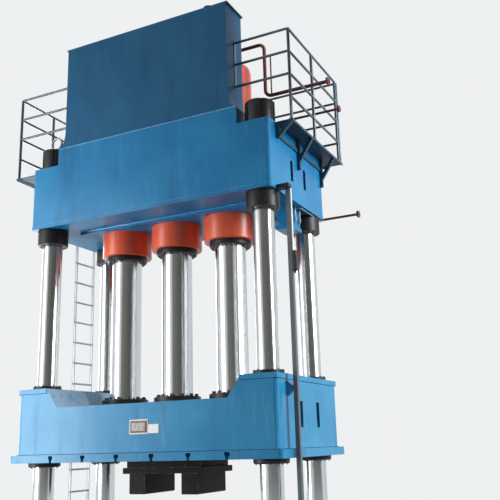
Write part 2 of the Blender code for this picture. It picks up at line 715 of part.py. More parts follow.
def build_slide():
    """The moving beam: a well for the rams between two column boxes, over a slotted floor."""
    shoulder = SLIDE_WELL_HALF + SLIDE_SHOULDER_RUN
    body_base = SLIDE_BASE + SLIDE_FLANGE_HEIGHT / 2
    front = [(-SLIDE_HALF_X, body_base), (SLIDE_HALF_X, body_base), (SLIDE_HALF_X, SLIDE_TOP),
             (shoulder, SLIDE_TOP), (SLIDE_WELL_HALF, WELL_LEVEL), (-SLIDE_WELL_HALF, WELL_LEVEL),
             (-shoulder, SLIDE_TOP), (-SLIDE_HALF_X, SLIDE_TOP)]
    slide = sheet("slide", front, -SLIDE_HALF_Y, SLIDE_HALF_Y, across="Y")
    plan = sheet("slide_plan", rounded_rectangle(SLIDE_HALF_X, SLIDE_HALF_Y, CORNER_RADIUS),
                 SLIDE_BASE - OVERRUN, SLIDE_TOP + OVERRUN)
    combine(slide, [plan], "INTERSECT")
    flange = sheet("slide_flange",
                   rounded_rectangle(FLANGE_HALF_X, SLIDE_HALF_Y + SLIDE_FLANGE_REACH, CORNER_RADIUS),
                   SLIDE_BASE, SLIDE_BASE + SLIDE_FLANGE_HEIGHT)
    joined = [flange]
    cap_base = SLIDE_TOP - SLIDE_CAP_HEIGHT
    cap_half_y = SLIDE_HALF_Y + SLIDE_CAP_PROUD
    for side in (-1, 1):
        inner = side * shoulder
        outer = side * (SLIDE_HALF_X + SLIDE_CAP_PROUD)
        joined.append(box("slide_cap_" + SIDE_NAMES[side], (min(inner, outer), -cap_half_y, cap_base),
                          (max(inner, outer), cap_half_y, SLIDE_TOP)))
    combine(slide, joined, "UNION")
    bush = COLUMN_RADIUS + SEAT_GAP + BUSH_WALL
    space = cavity("slide_space", SLIDE_BASE + SLIDE_FLOOR, (WELL_LEVEL - WALL, SLIDE_TOP - WALL),
                   SLIDE_HALF_X, SLIDE_HALF_Y, bush + SLEEVE_WALL, RAM_FOOT_RADIUS, SLIDE_PASS_RADIUS)
    window_base = SLIDE_BASE + SLIDE_WINDOW_RISE
    tools = [space]
    tools += windows("slide", SLIDE_HALF_X, SLIDE_WINDOW_WIDTH, SLIDE_WINDOW_Y,
                     window_base, window_base + SLIDE_WINDOW_HEIGHT)
    tools += column_bores("slide", bush + SEAT_GAP, SLIDE_BASE, SLIDE_TOP)
    tools += slots("slide", SLIDE_BASE, 1, SLIDE_HALF_Y + SLIDE_FLANGE_REACH, SLOTS_EACH_SIDE)
    combine(slide, tools, "DIFFERENCE")
    finish(slide, SLIDE_BLUE)


def build_guides():
    """A flanged bush in each corner of the slide, and a wiper ring under it."""
    bore = COLUMN_RADIUS + SEAT_GAP
    body = bore + BUSH_WALL
    seat = SLIDE_TOP + SEAT_GAP
    wiper_top = SLIDE_BASE - SEAT_GAP
    for place, at in each_column():
        bush = turned("guide_bush_" + place, [
            (bore, seat + BUSH_FLANGE_HEIGHT), (BUSH_FLANGE_RADIUS, seat + BUSH_FLANGE_HEIGHT),
            (BUSH_FLANGE_RADIUS, seat), (body, seat), (body, SLIDE_BASE), (bore, SLIDE_BASE)],
            at, closed=True)
        finish(bush, BLACKED, smooth=True)
        wiper = ring("wiper_ring_" + place, WIPER_RADIUS, bore, wiper_top - WIPER_HEIGHT, wiper_top, at)
        finish(wiper, BLACKED, smooth=True)


def build_upper_die():
    """The die under the slide: a shoe, its clamping plate and two forming blocks."""
    shoe_top = SLIDE_BASE - SEAT_GAP
    plate_top = shoe_top - DIE_SHOE_HEIGHT
    block_top = plate_top - DIE_PLATE_HEIGHT
    die = box("upper_die", (-DIE_SHOE_HALF_X, -DIE_SHOE_HALF_Y, plate_top),
              (DIE_SHOE_HALF_X, DIE_SHOE_HALF_Y, shoe_top))
    tools = [box("die_plate", (-DIE_PLATE_HALF_X, -DIE_PLATE_HALF_Y, block_top),
                 (DIE_PLATE_HALF_X, DIE_PLATE_HALF_Y, plate_top + DIE_EDGE))]
    for side in (-1, 1):
        centre = side * DIE_BLOCK_X
        half = DIE_BLOCK_WIDTH / 2
        base = block_top - DIE_BLOCK_HEIGHT
        outline = [(centre - half + DIE_EDGE, base), (centre + half - DIE_EDGE, base),
                   (centre + half, base + DIE_EDGE), (centre + half, block_top + DIE_EDGE),
                   (centre - half, block_top + DIE_EDGE), (centre - half, base + DIE_EDGE)]
        tools.append(sheet("die_block_" + SIDE_NAMES[side], outline,
                           -DIE_SHOE_HALF_Y, DIE_SHOE_HALF_Y, across="Y"))
    combine(die, tools, "UNION")
    finish(die, BLACKED)


# Oil tank

def tank_outline(inset):
    """The tank seen from the front: straight sides that flare out at the foot."""
    half = RAISED_HALF - TANK_FLARE - inset
    base = CROWN_TOP + SEAT_GAP
    right = []
    for step in range(TANK_FLARE_STEPS + 1):
        angle = math.pi / 2 * step / TANK_FLARE_STEPS
        right.append((half + TANK_FLARE * (1 - math.sin(angle)),
                      base + TANK_FLARE_HEIGHT * (1 - math.cos(angle))))
    right.append((half, TANK_TOP))
    return right + [(-x, z) for x, z in reversed(right)]


def build_tank():
    """A narrow tank along the crown's front edge: an open shell, a lid and a filler."""
    front = -BEAM_HALF_Y
    back = front + TANK_DEPTH
    tank = sheet("oil_tank", tank_outline(0.0), front, back, across="Y")
    inside = sheet("tank_inside", tank_outline(TANK_WALL), front + TANK_WALL, back - TANK_WALL, across="Y")
    inside.data.transform(Matrix.Translation((0.0, 0.0, TANK_WALL)))
    combine(tank, [inside], "DIFFERENCE")
    finish(tank, TANK_BLUE)
    half = RAISED_HALF - TANK_FLARE + LID_LIP
    lid_base = TANK_TOP + SEAT_GAP
    lid_top = lid_base + LID_THICKNESS
    lid = box("tank_lid", (-half, front, lid_base), (half, back + LID_LIP, lid_top))
    neck = lid_top + BREATHER_HEIGHT
    middle_y = (front + back) / 2
    breather = turned("tank_breather", [
        (0.0, neck), (BREATHER_RADIUS + BREATHER_CAP_REACH, neck),
        (BREATHER_RADIUS + BREATHER_CAP_REACH, neck - BREATHER_CAP_HEIGHT),
        (BREATHER_RADIUS, neck - BREATHER_CAP_HEIGHT), (BREATHER_RADIUS, lid_base + LID_THICKNESS / 2),
        (0.0, lid_base + LID_THICKNESS / 2)], (BREATHER_X, middle_y))
    combine(lid, [breather], "UNION")
    finish(lid, TANK_BLUE)


# Walkway

def deck_section(wall, reach, side):
    """A deck plate with a turned-down outer edge, in section, from the beam's wall outwards."""
    near = wall + side * SEAT_GAP
    far = wall + side * reach
    top = CROWN_END_TOP
    return [(near, top), (far, top), (far, top - DECK_EDGE_HEIGHT),
            (far - side * DECK_EDGE, top - DECK_EDGE_HEIGHT), (far - side * DECK_EDGE, top - DECK),
            (near, top - DECK)]


def bracket(name, wall, reach, side, drop, toe, centre, across):
    """An open bracket under a deck: a leg on the beam's wall and a strut to the outer edge.

    drop is the strut's foot under the deck, and toe how far the leg goes on below that.
    """
    near = wall + side * SEAT_GAP * 2
    inner = near + side * ANGLE
    far = wall + side * (reach - DECK_EDGE / 2)
    top = CROWN_END_TOP - DECK / 2
    edge = top - ANGLE / 2
    foot = top - drop
    slope = (edge - foot) / abs(far - inner)
    crotch = foot + top - edge + slope * ANGLE
    outline = [(near, top), (near, foot - toe), (inner, foot - toe), (inner, foot), (far, edge),
               (far, top), (far - side * ANGLE, top), (inner, crotch), (inner, top)]
    return sheet(name, outline, centre - ANGLE / 2, centre + ANGLE / 2, across=across)


def build_side_deck(side, reach, front):
    """The deck along one side of the crown, on brackets joined by an angle along the wall."""
    name = "deck_" + SIDE_NAMES[side]
    wall = side * BEAM_HALF_X
    deck = sheet(name, deck_section(wall, reach, side), front, REAR_EDGE, across="Y")
    first = front + ANGLE / 2
    last = BEAM_HALF_Y - CORNER_RADIUS - ANGLE / 2
    tools = [bracket(name + "_bracket_front", wall, reach, side, FRONT_BRACKET_DROP, 0.0, first, "Y"),
             bracket(name + "_bracket_middle", wall, reach, side, BRACKET_DROP, BRACKET_TOE, 0.0, "Y"),
             bracket(name + "_bracket_rear", wall, reach, side, BRACKET_DROP, BRACKET_TOE, last, "Y")]
    near = wall + side * SEAT_GAP * 2
    outer = near + side * ANGLE / 2
    high = CROWN_END_TOP - WALL_ANGLE_DROP
    tools.append(box(name + "_wall_angle", (min(near, outer), first, high - ANGLE),
                     (max(near, outer), last, high)))
    combine(deck, tools, "UNION")
    finish(deck, TANK_BLUE)


def build_rear_deck():
    """The deck along the back of the crown, between the side decks."""
    name = "deck_rear"
    half = BEAM_HALF_X - SEAT_GAP
    deck = sheet(name, deck_section(BEAM_HALF_Y, REAR_DECK_REACH, 1), -half, half, across="X")
    tools = []
    for index, centre in enumerate((-RAISED_HALF, -CYLINDER_PITCH / 2, CYLINDER_PITCH / 2, RAISED_HALF)):
        tools.append(bracket(f"{name}_bracket_{index}", BEAM_HALF_Y, REAR_DECK_REACH, 1,
                             FRONT_BRACKET_DROP, 0.0, centre, "X"))
    combine(deck, tools, "UNION")
    finish(deck, TANK_BLUE)


def fence(name, start, end, posts, first_rail=0):
    """Rails from one place to another, over posts that stand on the deck.

    posts are shares of the way from start to end. Rails run from the first to the last point.
    """
    start = Vector((*start, 0.0))
    end = Vector((*end, 0.0))
    bars = []
    for index, share in enumerate(posts):
        foot = start.lerp(end, share)
        foot.z = CROWN_END_TOP + SEAT_GAP
        head = foot.copy()
        head.z = RAIL_TOP
        bars.append(rod(f"{name}_post_{index}", POST_RADIUS, foot, head, BAR_SIDES))
    for index in range(first_rail, RAILS):
        lift = Vector((0.0, 0.0, CROWN_END_TOP + RAIL_PITCH * (index + 1)))
        bars.append(rod(f"{name}_rail_{index}", RAIL_RADIUS, start + lift, end + lift, BAR_SIDES))
    rail = combine(bars[0], bars[1:], "UNION")
    rail.name = name
    finish(rail, RAIL_BLUE)


def wall_fence(name, side, line_y, corner_x):
    """Three short rails from a bar on the tank's side to the corner post of the side fence."""
    wall = side * (RAISED_HALF - TANK_FLARE + SEAT_GAP)
    bar_face = wall + side * WALL_BAR
    low = CROWN_END_TOP + RAIL_PITCH * 2 - WALL_BAR_WIDTH / 2
    high = RAIL_TOP + WALL_BAR_WIDTH / 2
    bar = box(name, (min(wall, bar_face), line_y - WALL_BAR_WIDTH / 2, low),
              (max(wall, bar_face), line_y + WALL_BAR_WIDTH / 2, high))
    stop = corner_x - side * (POST_RADIUS + SEAT_GAP)
    rails = []
    for index in range(1, RAILS):
        level = CROWN_END_TOP + RAIL_PITCH * (index + 1)
        rails.append(rod(f"{name}_rail_{index}", RAIL_RADIUS, (wall + side * WALL_BAR / 2, line_y, level),
                         (stop, line_y, level), BAR_SIDES))
    combine(bar, rails, "UNION")
    finish(bar, RAIL_BLUE)


def build_walkway():
    """Decks on three sides of the crown and the rails round them."""
    left_front = -BEAM_HALF_Y + LEFT_DECK_FRONT
    right_front = -BEAM_HALF_Y + RIGHT_DECK_FRONT
    build_side_deck(-1, LEFT_DECK_REACH, left_front)
    build_side_deck(1, RIGHT_DECK_REACH, right_front)
    build_rear_deck()
    left_line = LEFT_EDGE + POST_INSET
    right_line = RIGHT_EDGE - POST_INSET
    rear_line = REAR_EDGE - POST_INSET
    left_start = left_front + POST_INSET
    right_start = right_front + POST_INSET
    fence("handrail_left", (left_line, left_start), (left_line, LADDER_FRONT - POST_INSET),
          (0.0, LEFT_MIDDLE_POST_SHARE, 1.0))
    fence("handrail_right", (right_line, right_start),
          (right_line, rear_line - POST_RADIUS * 2 - POST_INSET), (0.0, RIGHT_MIDDLE_POST_SHARE, 1.0))
    shares = [index / REAR_POST_SPACES for index in range(REAR_POST_SPACES + 1)]
    fence("handrail_rear", (left_line, rear_line), (right_line, rear_line), shares)
    wall_fence("handrail_front_left", -1, left_start, left_line)
    wall_fence("handrail_front_right", 1, right_start, right_line)


# Ladder

def build_ladder():
    """A straight ladder against the left deck's edge, from the floor to the top rail."""
    inner = LEFT_EDGE - SEAT_GAP
    outer = inner - LADDER_STILE_WIDTH
    centre = (inner + outer) / 2
    stiles = []
    for name, low in (("front", LADDER_FRONT), ("rear", REAR_EDGE - LADDER_STILE)):
        stiles.append(box("ladder_stile_" + name, (outer, low, 0.0), (inner, low + LADDER_STILE, RAIL_TOP)))
        foot = low - LADDER_STILE if name == "front" else low
        stiles.append(box("ladder_foot_" + name, (centre - LADDER_FOOT_LENGTH / 2, foot, 0.0),
                          (centre + LADDER_FOOT_LENGTH / 2, foot + LADDER_STILE * 2, LADDER_FOOT)))
    rungs = []
    count = int(CROWN_END_TOP / RUNG_PITCH)
    front = LADDER_FRONT + LADDER_STILE / 2
    rear = REAR_EDGE - LADDER_STILE / 2
    for index in range(count):
        level = CROWN_END_TOP - RUNG_PITCH * index - RUNG_RADIUS
        rungs.append(rod(f"ladder_rung_{index}", RUNG_RADIUS, (centre, front, level),
                         (centre, rear, level), BAR_SIDES))
    ladder = combine(stiles[0], stiles[1:] + rungs, "UNION")
    ladder.name = "ladder"
    finish(ladder, LADDER_GREY)


# Pipework

def bent(points, radius):
    """A run of straight pipe with a bend of one radius at each inner point."""
    path = [Vector(points[0])]
    for before, corner, after in zip(points, points[1:], points[2:]):
        corner = Vector(corner)
        back = (Vector(before) - corner).normalized()
        ahead = (Vector(after) - corner).normalized()
        start = corner + back * radius
        end = corner + ahead * radius
        centre = corner + (back + ahead) * radius
        for step in range(PIPE_BEND_STEPS + 1):
            angle = math.pi / 2 * step / PIPE_BEND_STEPS
            path.append(centre + (start - centre) * math.cos(angle) + (end - centre) * math.sin(angle))
    path.append(Vector(points[-1]))
    return path


def end_flange(name, radius, end):
    """A blank flange on a pipe that ends to the right."""
    face = Vector(end)
    return rod(name, radius + PIPE_FLANGE_REACH, face - Vector((PIPE_FLANGE, 0.0, 0.0)), face, INNER_SIDES)


def build_pipes():
    """The manifold over the cylinders, a pilot line, a return line and a drain line."""
    port_top = CYLINDER_TOP + CYLINDER_PORT_HEIGHT + SEAT_GAP
    level = CYLINDER_TOP + MANIFOLD_RISE
    leave = CROWN_END_TOP + MANIFOLD_EXIT_RISE
    end = (PIPE_END, 0.0, leave)
    radius = MAIN_PIPE_RADIUS
    manifold = pipe("oil_manifold", bent([
        (-CYLINDER_PITCH, 0.0, port_top), (-CYLINDER_PITCH, 0.0, level), (MANIFOLD_DROP_X, 0.0, level),
        (MANIFOLD_DROP_X, 0.0, leave), end], PIPE_BEND), radius)
    tools = [end_flange("manifold_end", radius, end)]
    for place, x in CYLINDERS.items():
        tools.append(rod("manifold_foot_" + place, CYLINDER_PORT_RADIUS - SEAT_GAP, (x, 0.0, port_top),
                         (x, 0.0, port_top + PIPE_FLANGE), INNER_SIDES))
        if x > -CYLINDER_PITCH:
            tools.append(rod("manifold_drop_" + place, radius * BRANCH_SHARE, (x, 0.0, port_top),
                             (x, 0.0, level), BAR_SIDES))
    combine(manifold, tools, "UNION")
    finish(manifold, PIPE_RED, smooth=True)
    start = CYLINDER_TOP + SEAT_GAP
    conduit = pipe("pilot_line", bent([
        (CONDUIT_START_X, -CONDUIT_Y, start), (CONDUIT_START_X, -CONDUIT_Y, start + CONDUIT_RISE),
        (CONDUIT_DROP_X, -CONDUIT_Y, start + CONDUIT_RISE), (CONDUIT_DROP_X, -CONDUIT_Y, leave)],
        CONDUIT_RISE / 2), CONDUIT_RADIUS)
    finish(conduit, PIPE_RED, smooth=True)
    rise = CROWN_END_TOP + RETURN_RISE
    end = (PIPE_END, RETURN_Y, rise)
    return_line = pipe("return_line", bent([
        (RETURN_X, RETURN_Y, CROWN_END_TOP + SEAT_GAP), (RETURN_X, RETURN_Y, rise), end], PIPE_BEND),
        SMALL_PIPE_RADIUS)
    foot = rod("return_foot", SMALL_PIPE_RADIUS + PIPE_FLANGE_REACH,
               (RETURN_X, RETURN_Y, CROWN_END_TOP + SEAT_GAP),
               (RETURN_X, RETURN_Y, CROWN_END_TOP + SEAT_GAP + PIPE_FLANGE), INNER_SIDES)
    combine(return_line, [foot, end_flange("return_end", SMALL_PIPE_RADIUS, end)], "UNION")
    finish(return_line, PIPE_RED, smooth=True)
    level = CROWN_BASE + DRAIN_RISE
    line_y = BEAM_HALF_Y + DRAIN_OFFSET
    end = (PIPE_END, line_y, level)
    wall_y = BEAM_HALF_Y + CROWN_BASE_PROUD + SEAT_GAP
    drain = pipe("drain_line", bent([(DRAIN_X, wall_y, level), (DRAIN_X, line_y, level), end],
                                    DRAIN_BEND), SMALL_PIPE_RADIUS)
    foot = rod("drain_foot", SMALL_PIPE_RADIUS + PIPE_FLANGE_REACH / 2, (DRAIN_X, wall_y, level),
               (DRAIN_X, wall_y + PIPE_FLANGE / 2, level), INNER_SIDES)
    combine(drain, [foot, end_flange("drain_end", SMALL_PIPE_RADIUS, end)], "UNION")
    finish(drain, PIPE_RED, smooth=True)


# Stroke rail and switches

def build_junction_box():
    """The switches' junction box, hung under the crown between the right columns."""
    top = CROWN_BASE - SEAT_GAP
    base = top - JUNCTION_HEIGHT
    left = JUNCTION_X - JUNCTION_WIDTH / 2
    right = JUNCTION_X + JUNCTION_WIDTH / 2
    front = JUNCTION_Y - JUNCTION_DEPTH / 2
    back = JUNCTION_Y + JUNCTION_DEPTH / 2
    reach = JUNCTION_SOLE_REACH
    junction = box("switch_junction_box", (left, front, base + JUNCTION_SOLE / 2), (right, back, top))
    sole = box("junction_sole", (left - reach, front - reach, base),
               (right + reach, back + reach, base + JUNCTION_SOLE))
    combine(junction, [sole], "UNION")
    finish(junction, CROWN_BLUE)


def build_stroke_rail():
    """A channel beside the slide that carries the switch, and the striker that trips it."""
    inner = FLANGE_HALF_X + STROKE_RAIL_CLEARANCE
    outer = inner + STROKE_RAIL_WIDTH
    front = -STROKE_RAIL_Y - STROKE_RAIL_DEPTH / 2
    back = front + STROKE_RAIL_DEPTH
    lip = STROKE_RAIL_LIP
    base = BED_HEIGHT / 2
    channel = [(inner, front), (outer, front), (outer, back), (outer - lip, back),
               (outer - lip, front + lip), (inner + lip, front + lip), (inner + lip, back), (inner, back)]
    rail = sheet("stroke_rail", channel, base, CROWN_BASE + ARM_HEIGHT / 2)
    arm = box("stroke_arm", (BEAM_HALF_X + CROWN_BASE_PROUD + SEAT_GAP, front - ARM_REACH, CROWN_BASE),
              (outer + lip, back, CROWN_BASE + ARM_HEIGHT))
    foot_arm = box("stroke_foot_arm", (BEAM_HALF_X + SEAT_GAP, front, base),
                   (inner + lip / 2, front + lip, base + FOOT_ARM_HEIGHT))
    combine(rail, [arm, foot_arm], "UNION")
    finish(rail, LADDER_GREY)
    switch_top = CROWN_BASE - SWITCH_DROP
    switch_front = front - lip
    switch = box("limit_switch", (outer + SEAT_GAP, switch_front, switch_top - SWITCH_HEIGHT),
                 (outer + SEAT_GAP + SWITCH_DEPTH, switch_front + SWITCH_WIDTH, switch_top))
    finish(switch, SWITCH_BLACK)
    striker_low = SLIDE_BASE + STRIKER_RISE
    near = SLIDE_HALF_X + SEAT_GAP
    far = inner - STRIKER_CLEARANCE
    striker = sheet("striker", [
        (near, striker_low), (near + STRIKER_THICKNESS, striker_low),
        (far, striker_low + STRIKER_HEIGHT / 3), (far, striker_low + STRIKER_HEIGHT * 2 / 3),
        (near + STRIKER_THICKNESS, striker_low + STRIKER_HEIGHT), (near, striker_low + STRIKER_HEIGHT)],
        -STROKE_RAIL_Y - STRIKER_WIDTH / 2, -STROKE_RAIL_Y + STRIKER_WIDTH / 2, across="Y")
    finish(striker, BLACKED)


def main():
    """Build the press from the floor up."""
    build_bed()
    build_bolster()
    build_columns()
    build_slide()
    build_guides()
    build_upper_die()
    build_rams()
    build_crown()
    build_cylinders()
    build_tank()
    build_walkway()
    build_ladder()
    build_pipes()
    build_junction_box()
    build_stroke_rail()


main()
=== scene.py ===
"""The looks of a four-column hydraulic press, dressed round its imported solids.

Metres, +Z up, -Y is the front. Every place comes from the frame's own boxes, so each piece sits
where the solid that it stands for does.
"""

import logging
import math
from dataclasses import dataclass, field, replace
from enum import Enum

import bpy
import numpy as np
from mathutils import Matrix, Vector


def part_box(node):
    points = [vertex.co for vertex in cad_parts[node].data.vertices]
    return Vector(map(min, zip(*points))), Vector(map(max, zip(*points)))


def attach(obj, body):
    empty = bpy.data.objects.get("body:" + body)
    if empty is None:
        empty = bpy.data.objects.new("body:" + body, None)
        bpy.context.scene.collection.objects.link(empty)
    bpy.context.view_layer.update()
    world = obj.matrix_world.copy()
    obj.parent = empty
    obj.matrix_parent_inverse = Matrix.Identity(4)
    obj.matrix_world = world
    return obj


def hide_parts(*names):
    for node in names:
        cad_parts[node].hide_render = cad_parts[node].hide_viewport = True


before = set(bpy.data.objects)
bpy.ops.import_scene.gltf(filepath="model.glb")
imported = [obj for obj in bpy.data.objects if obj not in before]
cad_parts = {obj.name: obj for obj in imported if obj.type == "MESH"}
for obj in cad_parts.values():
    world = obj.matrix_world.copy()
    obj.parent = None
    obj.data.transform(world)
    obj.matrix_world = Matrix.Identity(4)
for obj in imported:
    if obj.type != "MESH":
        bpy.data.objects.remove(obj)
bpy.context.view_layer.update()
LOG = logging.getLogger("press")

# Faces round a piece, by its size
ROUND_SIDES = 96
BAR_SIDES = 18
SMALL_SIDES = 24
BEAD_SIDES = 8
COLLAR_SIDES = 6
# Lengths that many pieces share: the clearance between them, and how far their edges are rounded
FIT = 0.0003
EDGE = 0.003
FINE_EDGE = 0.001
# Directions: up, down, out of the front, to the right, one that no run of pipe follows, and how far
# up counts as upright
UP = (0.0, 0.0, 1.0)
DOWN = (0.0, 0.0, -1.0)
FRONT = (0.0, -1.0, 0.0)
RIGHT = (1.0, 0.0, 0.0)
SLANT = (0.48, 0.61, 0.63)
STEEP = 0.9
# Faces that meet at more than this angle keep a crisp edge
SHARP_ANGLE = math.radians(32)
# A bolt head's sizes as shares of its width across the flats, and its chamfer's radius as one of its own
WASHER_HEIGHT_SHARE = 0.12
WASHER_RADIUS_SHARE = 0.62
HEAD_HEIGHT_SHARE = 0.7
CHAMFER_HEIGHT_SHARE = 0.08
CHAMFER_RADIUS_SHARE = 0.86
# How far a weld bead swells and shrinks, as a share of its radius
RIPPLE_SHARE = 0.16
# The places of the columns and of the cylinders, as their solids name them
COLUMNS = ("front_left", "front_right", "rear_left", "rear_right")
CYLINDERS = ("left", "middle", "right")


class Body(Enum):
    """The two bodies of the press."""

    FRAME = "frame"
    SLIDE = "slide"


class Slot(Enum):
    """The record's names for the finishes."""

    CROWN = "crown_paint"
    SLIDE = "slide_paint"
    TANK = "tank_paint"
    CYLINDER = "cylinder_paint"
    BLACKED = "blacked_steel"
    DIE = "die_steel"
    CHROME = "chromed_steel"
    MACHINED = "machined_steel"
    RAIL = "rail_paint"
    LADDER = "ladder_paint"
    PIPE = "pipe_paint"
    SWITCH = "switch_plastic"


# Surfaces as arrays

@dataclass
class Surface:
    """A mesh as arrays: points, and the faces that join them, grouped by their number of corners."""

    points: np.ndarray
    faces: list[np.ndarray]

    def placed(self, matrix: np.ndarray) -> "Surface":
        """Return the surface moved by a 4 by 4 matrix."""
        return Surface(self.points @ matrix[:3, :3].T + matrix[:3, 3], self.faces)

    def repeated(self, places: np.ndarray) -> "Surface":
        """Copy the surface to many places at once.

        Each point goes through every matrix as a whole array, and the faces of copy n are shifted
        by n times the number of points.

        Args:
            places: One 4 by 4 matrix for each copy.

        Returns:
            All the copies as one surface.
        """
        copies = np.einsum("nij,vj->nvi", places[:, :3, :3], self.points) + places[:, None, :3, 3]
        shifts = np.arange(len(places))[:, None, None] * len(self.points)
        faces = [(group[None] + shifts).reshape(-1, group.shape[1]) for group in self.faces]
        return Surface(copies.reshape(-1, 3), faces)


def joined(surfaces: list[Surface]) -> Surface:
    """Put several surfaces into one, with their face numbers shifted to follow.

    Args:
        surfaces: The surfaces to gather.

    Returns:
        One surface with all their points and faces.
    """
    faces = []
    start = 0
    for surface in surfaces:
        faces += [group + start for group in surface.faces]
        start += len(surface.points)
    return Surface(np.concatenate([surface.points for surface in surfaces]), faces)


def grid_faces(rows: int, columns: int, closed_rows: bool, closed_columns: bool) -> np.ndarray:
    """Join a grid of points into quads that face out when rows run down and columns run round.

    Args:
        rows: Points along the first parameter.
        columns: Points along the second parameter.
        closed_rows: Whether the last row joins the first.
        closed_columns: Whether the last column joins the first.

    Returns:
        An array of quads, four point numbers each.
    """
    row, column = np.meshgrid(np.arange(rows if closed_rows else rows - 1),
                              np.arange(columns if closed_columns else columns - 1), indexing="ij")
    below = (row + 1) % rows * columns
    beside = (column + 1) % columns
    here = row * columns
    quads = np.stack([here + column, below + column, below + beside, here + beside], axis=-1)
    return quads.reshape(-1, 4)


def softened(profile: list[tuple[float, float]], radius: float, closed: bool, steps: int = 3) -> np.ndarray:
    """Round the corners of an outline with short quadratic arcs.

    Each inner corner P with neighbours A and B becomes the curve (1-t)^2 S + 2t(1-t) P + t^2 E, where
    S and E lie the radius away from P towards A and B, or a third of the way if that is less.

    Args:
        profile: The outline's corners.
        radius: How far from a corner its arc starts.
        closed: Whether the outline's ends join.
        steps: Pieces in each arc.

    Returns:
        The rounded outline as an array of points.
    """
    corners = np.array(profile, float)
    before = np.roll(corners, 1, axis=0) - corners
    after = np.roll(corners, -1, axis=0) - corners
    reach_before = np.minimum(radius, np.linalg.norm(before, axis=1) / 3)
    reach_after = np.minimum(radius, np.linalg.norm(after, axis=1) / 3)
    if not closed:
        reach_before[[0, -1]] = 0.0
        reach_after[[0, -1]] = 0.0
    start = corners + before / np.linalg.norm(before, axis=1)[:, None] * reach_before[:, None]
    end = corners + after / np.linalg.norm(after, axis=1)[:, None] * reach_after[:, None]
    t = np.linspace(0.0, 1.0, steps + 1)[None, :, None]
    arcs = (1 - t) ** 2 * start[:, None] + 2 * t * (1 - t) * corners[:, None] + t ** 2 * end[:, None]
    points = arcs.reshape(-1, arcs.shape[2])
    fresh = np.linalg.norm(points - np.roll(points, 1, axis=0), axis=1) > FIT / 100
    fresh[0] = True
    return points[fresh]


def turned(profile: np.ndarray, at: Vector, sides: int = ROUND_SIDES, closed: bool = False,
           start: float = 0.0, sweep: float = 2 * math.pi) -> Surface:
    """Revolve radius and height pairs about an upright axis.

    The point at height z and radius r goes to (x + r cos a, y + r sin a, z) for each angle a. The
    profile runs down the outer side, and an open one is closed by flat ends.

    Args:
        profile: Radius and height pairs.
        at: A point on the axis.
        sides: Faces round the piece.
        closed: Whether the profile's ends join, as in a ring.
        start: The first angle, in radians.
        sweep: How far round the piece goes, in radians.

    Returns:
        The turned surface, closed.
    """
    whole = sweep > 2 * math.pi - FIT
    angle = start + np.linspace(0.0, sweep, sides + (0 if whole else 1), endpoint=not whole)
    profile = np.asarray(profile, float)
    rows, columns = len(profile), len(angle)
    points = np.stack([at[0] + profile[:, :1] * np.cos(angle), at[1] + profile[:, :1] * np.sin(angle),
                       np.repeat(profile[:, 1:], columns, axis=1)], axis=-1)
    faces = [grid_faces(rows, columns, closed, whole)]
    if not closed:
        faces.append(np.arange(columns)[None])
        faces.append(((rows - 1) * columns + np.arange(columns))[::-1][None])
    if not whole:
        faces.append((np.arange(rows) * columns)[::-1][None])
        faces.append((np.arange(rows) * columns + columns - 1)[None])
    return Surface(points.reshape(-1, 3), faces)


def swept(path: np.ndarray, radius: np.ndarray | float, sides: int = BAR_SIDES) -> Surface:
    """Carry a circle along a path.

    At each point the circle lies across the path's direction d, on the axes u = d x r and v = d x u,
    where r is the slanted direction that no run of pipe here follows.

    Args:
        path: The points of the centre line.
        radius: The circle's radius, or one for each point.
        sides: Faces round the bar.

    Returns:
        The bar's surface with flat ends.
    """
    path = np.asarray(path, float)
    ahead = np.gradient(path, axis=0)
    ahead /= np.linalg.norm(ahead, axis=1)[:, None]
    first = np.cross(ahead, SLANT)
    first /= np.linalg.norm(first, axis=1)[:, None]
    second = np.cross(ahead, first)
    angle = np.linspace(0.0, 2 * math.pi, sides, endpoint=False)[::-1]
    reach = np.broadcast_to(radius, len(path))[:, None, None]
    rim = first[:, None] * np.cos(angle)[None, :, None] + second[:, None] * np.sin(angle)[None, :, None]
    points = path[:, None] + rim * reach
    ends = [np.arange(sides)[None], ((len(path) - 1) * sides + np.arange(sides))[::-1][None]]
    return Surface(points.reshape(-1, 3), [grid_faces(len(path), sides, False, True), *ends])


def facing(points: np.ndarray, normals: np.ndarray | tuple[float, float, float]) -> np.ndarray:
    """Matrices that stand a piece on each point, with its Z axis along the normal there.

    Args:
        points: Where the pieces stand.
        normals: One direction for each point, or one for all.

    Returns:
        One 4 by 4 matrix for each point.
    """
    points = np.asarray(points, float)
    z = np.broadcast_to(np.asarray(normals, float), points.shape)
    z = z / np.linalg.norm(z, axis=1)[:, None]
    x = np.cross(np.where(np.abs(z[:, 2:]) > STEEP, (0.0, 1.0, 0.0), UP), z)
    x /= np.linalg.norm(x, axis=1)[:, None]
    places = np.zeros((len(points), 4, 4))
    places[:, :3, 0] = x
    places[:, :3, 1] = np.cross(z, x)
    places[:, :3, 2] = z
    places[:, :3, 3] = points
    places[:, 3, 3] = 1.0
    return places


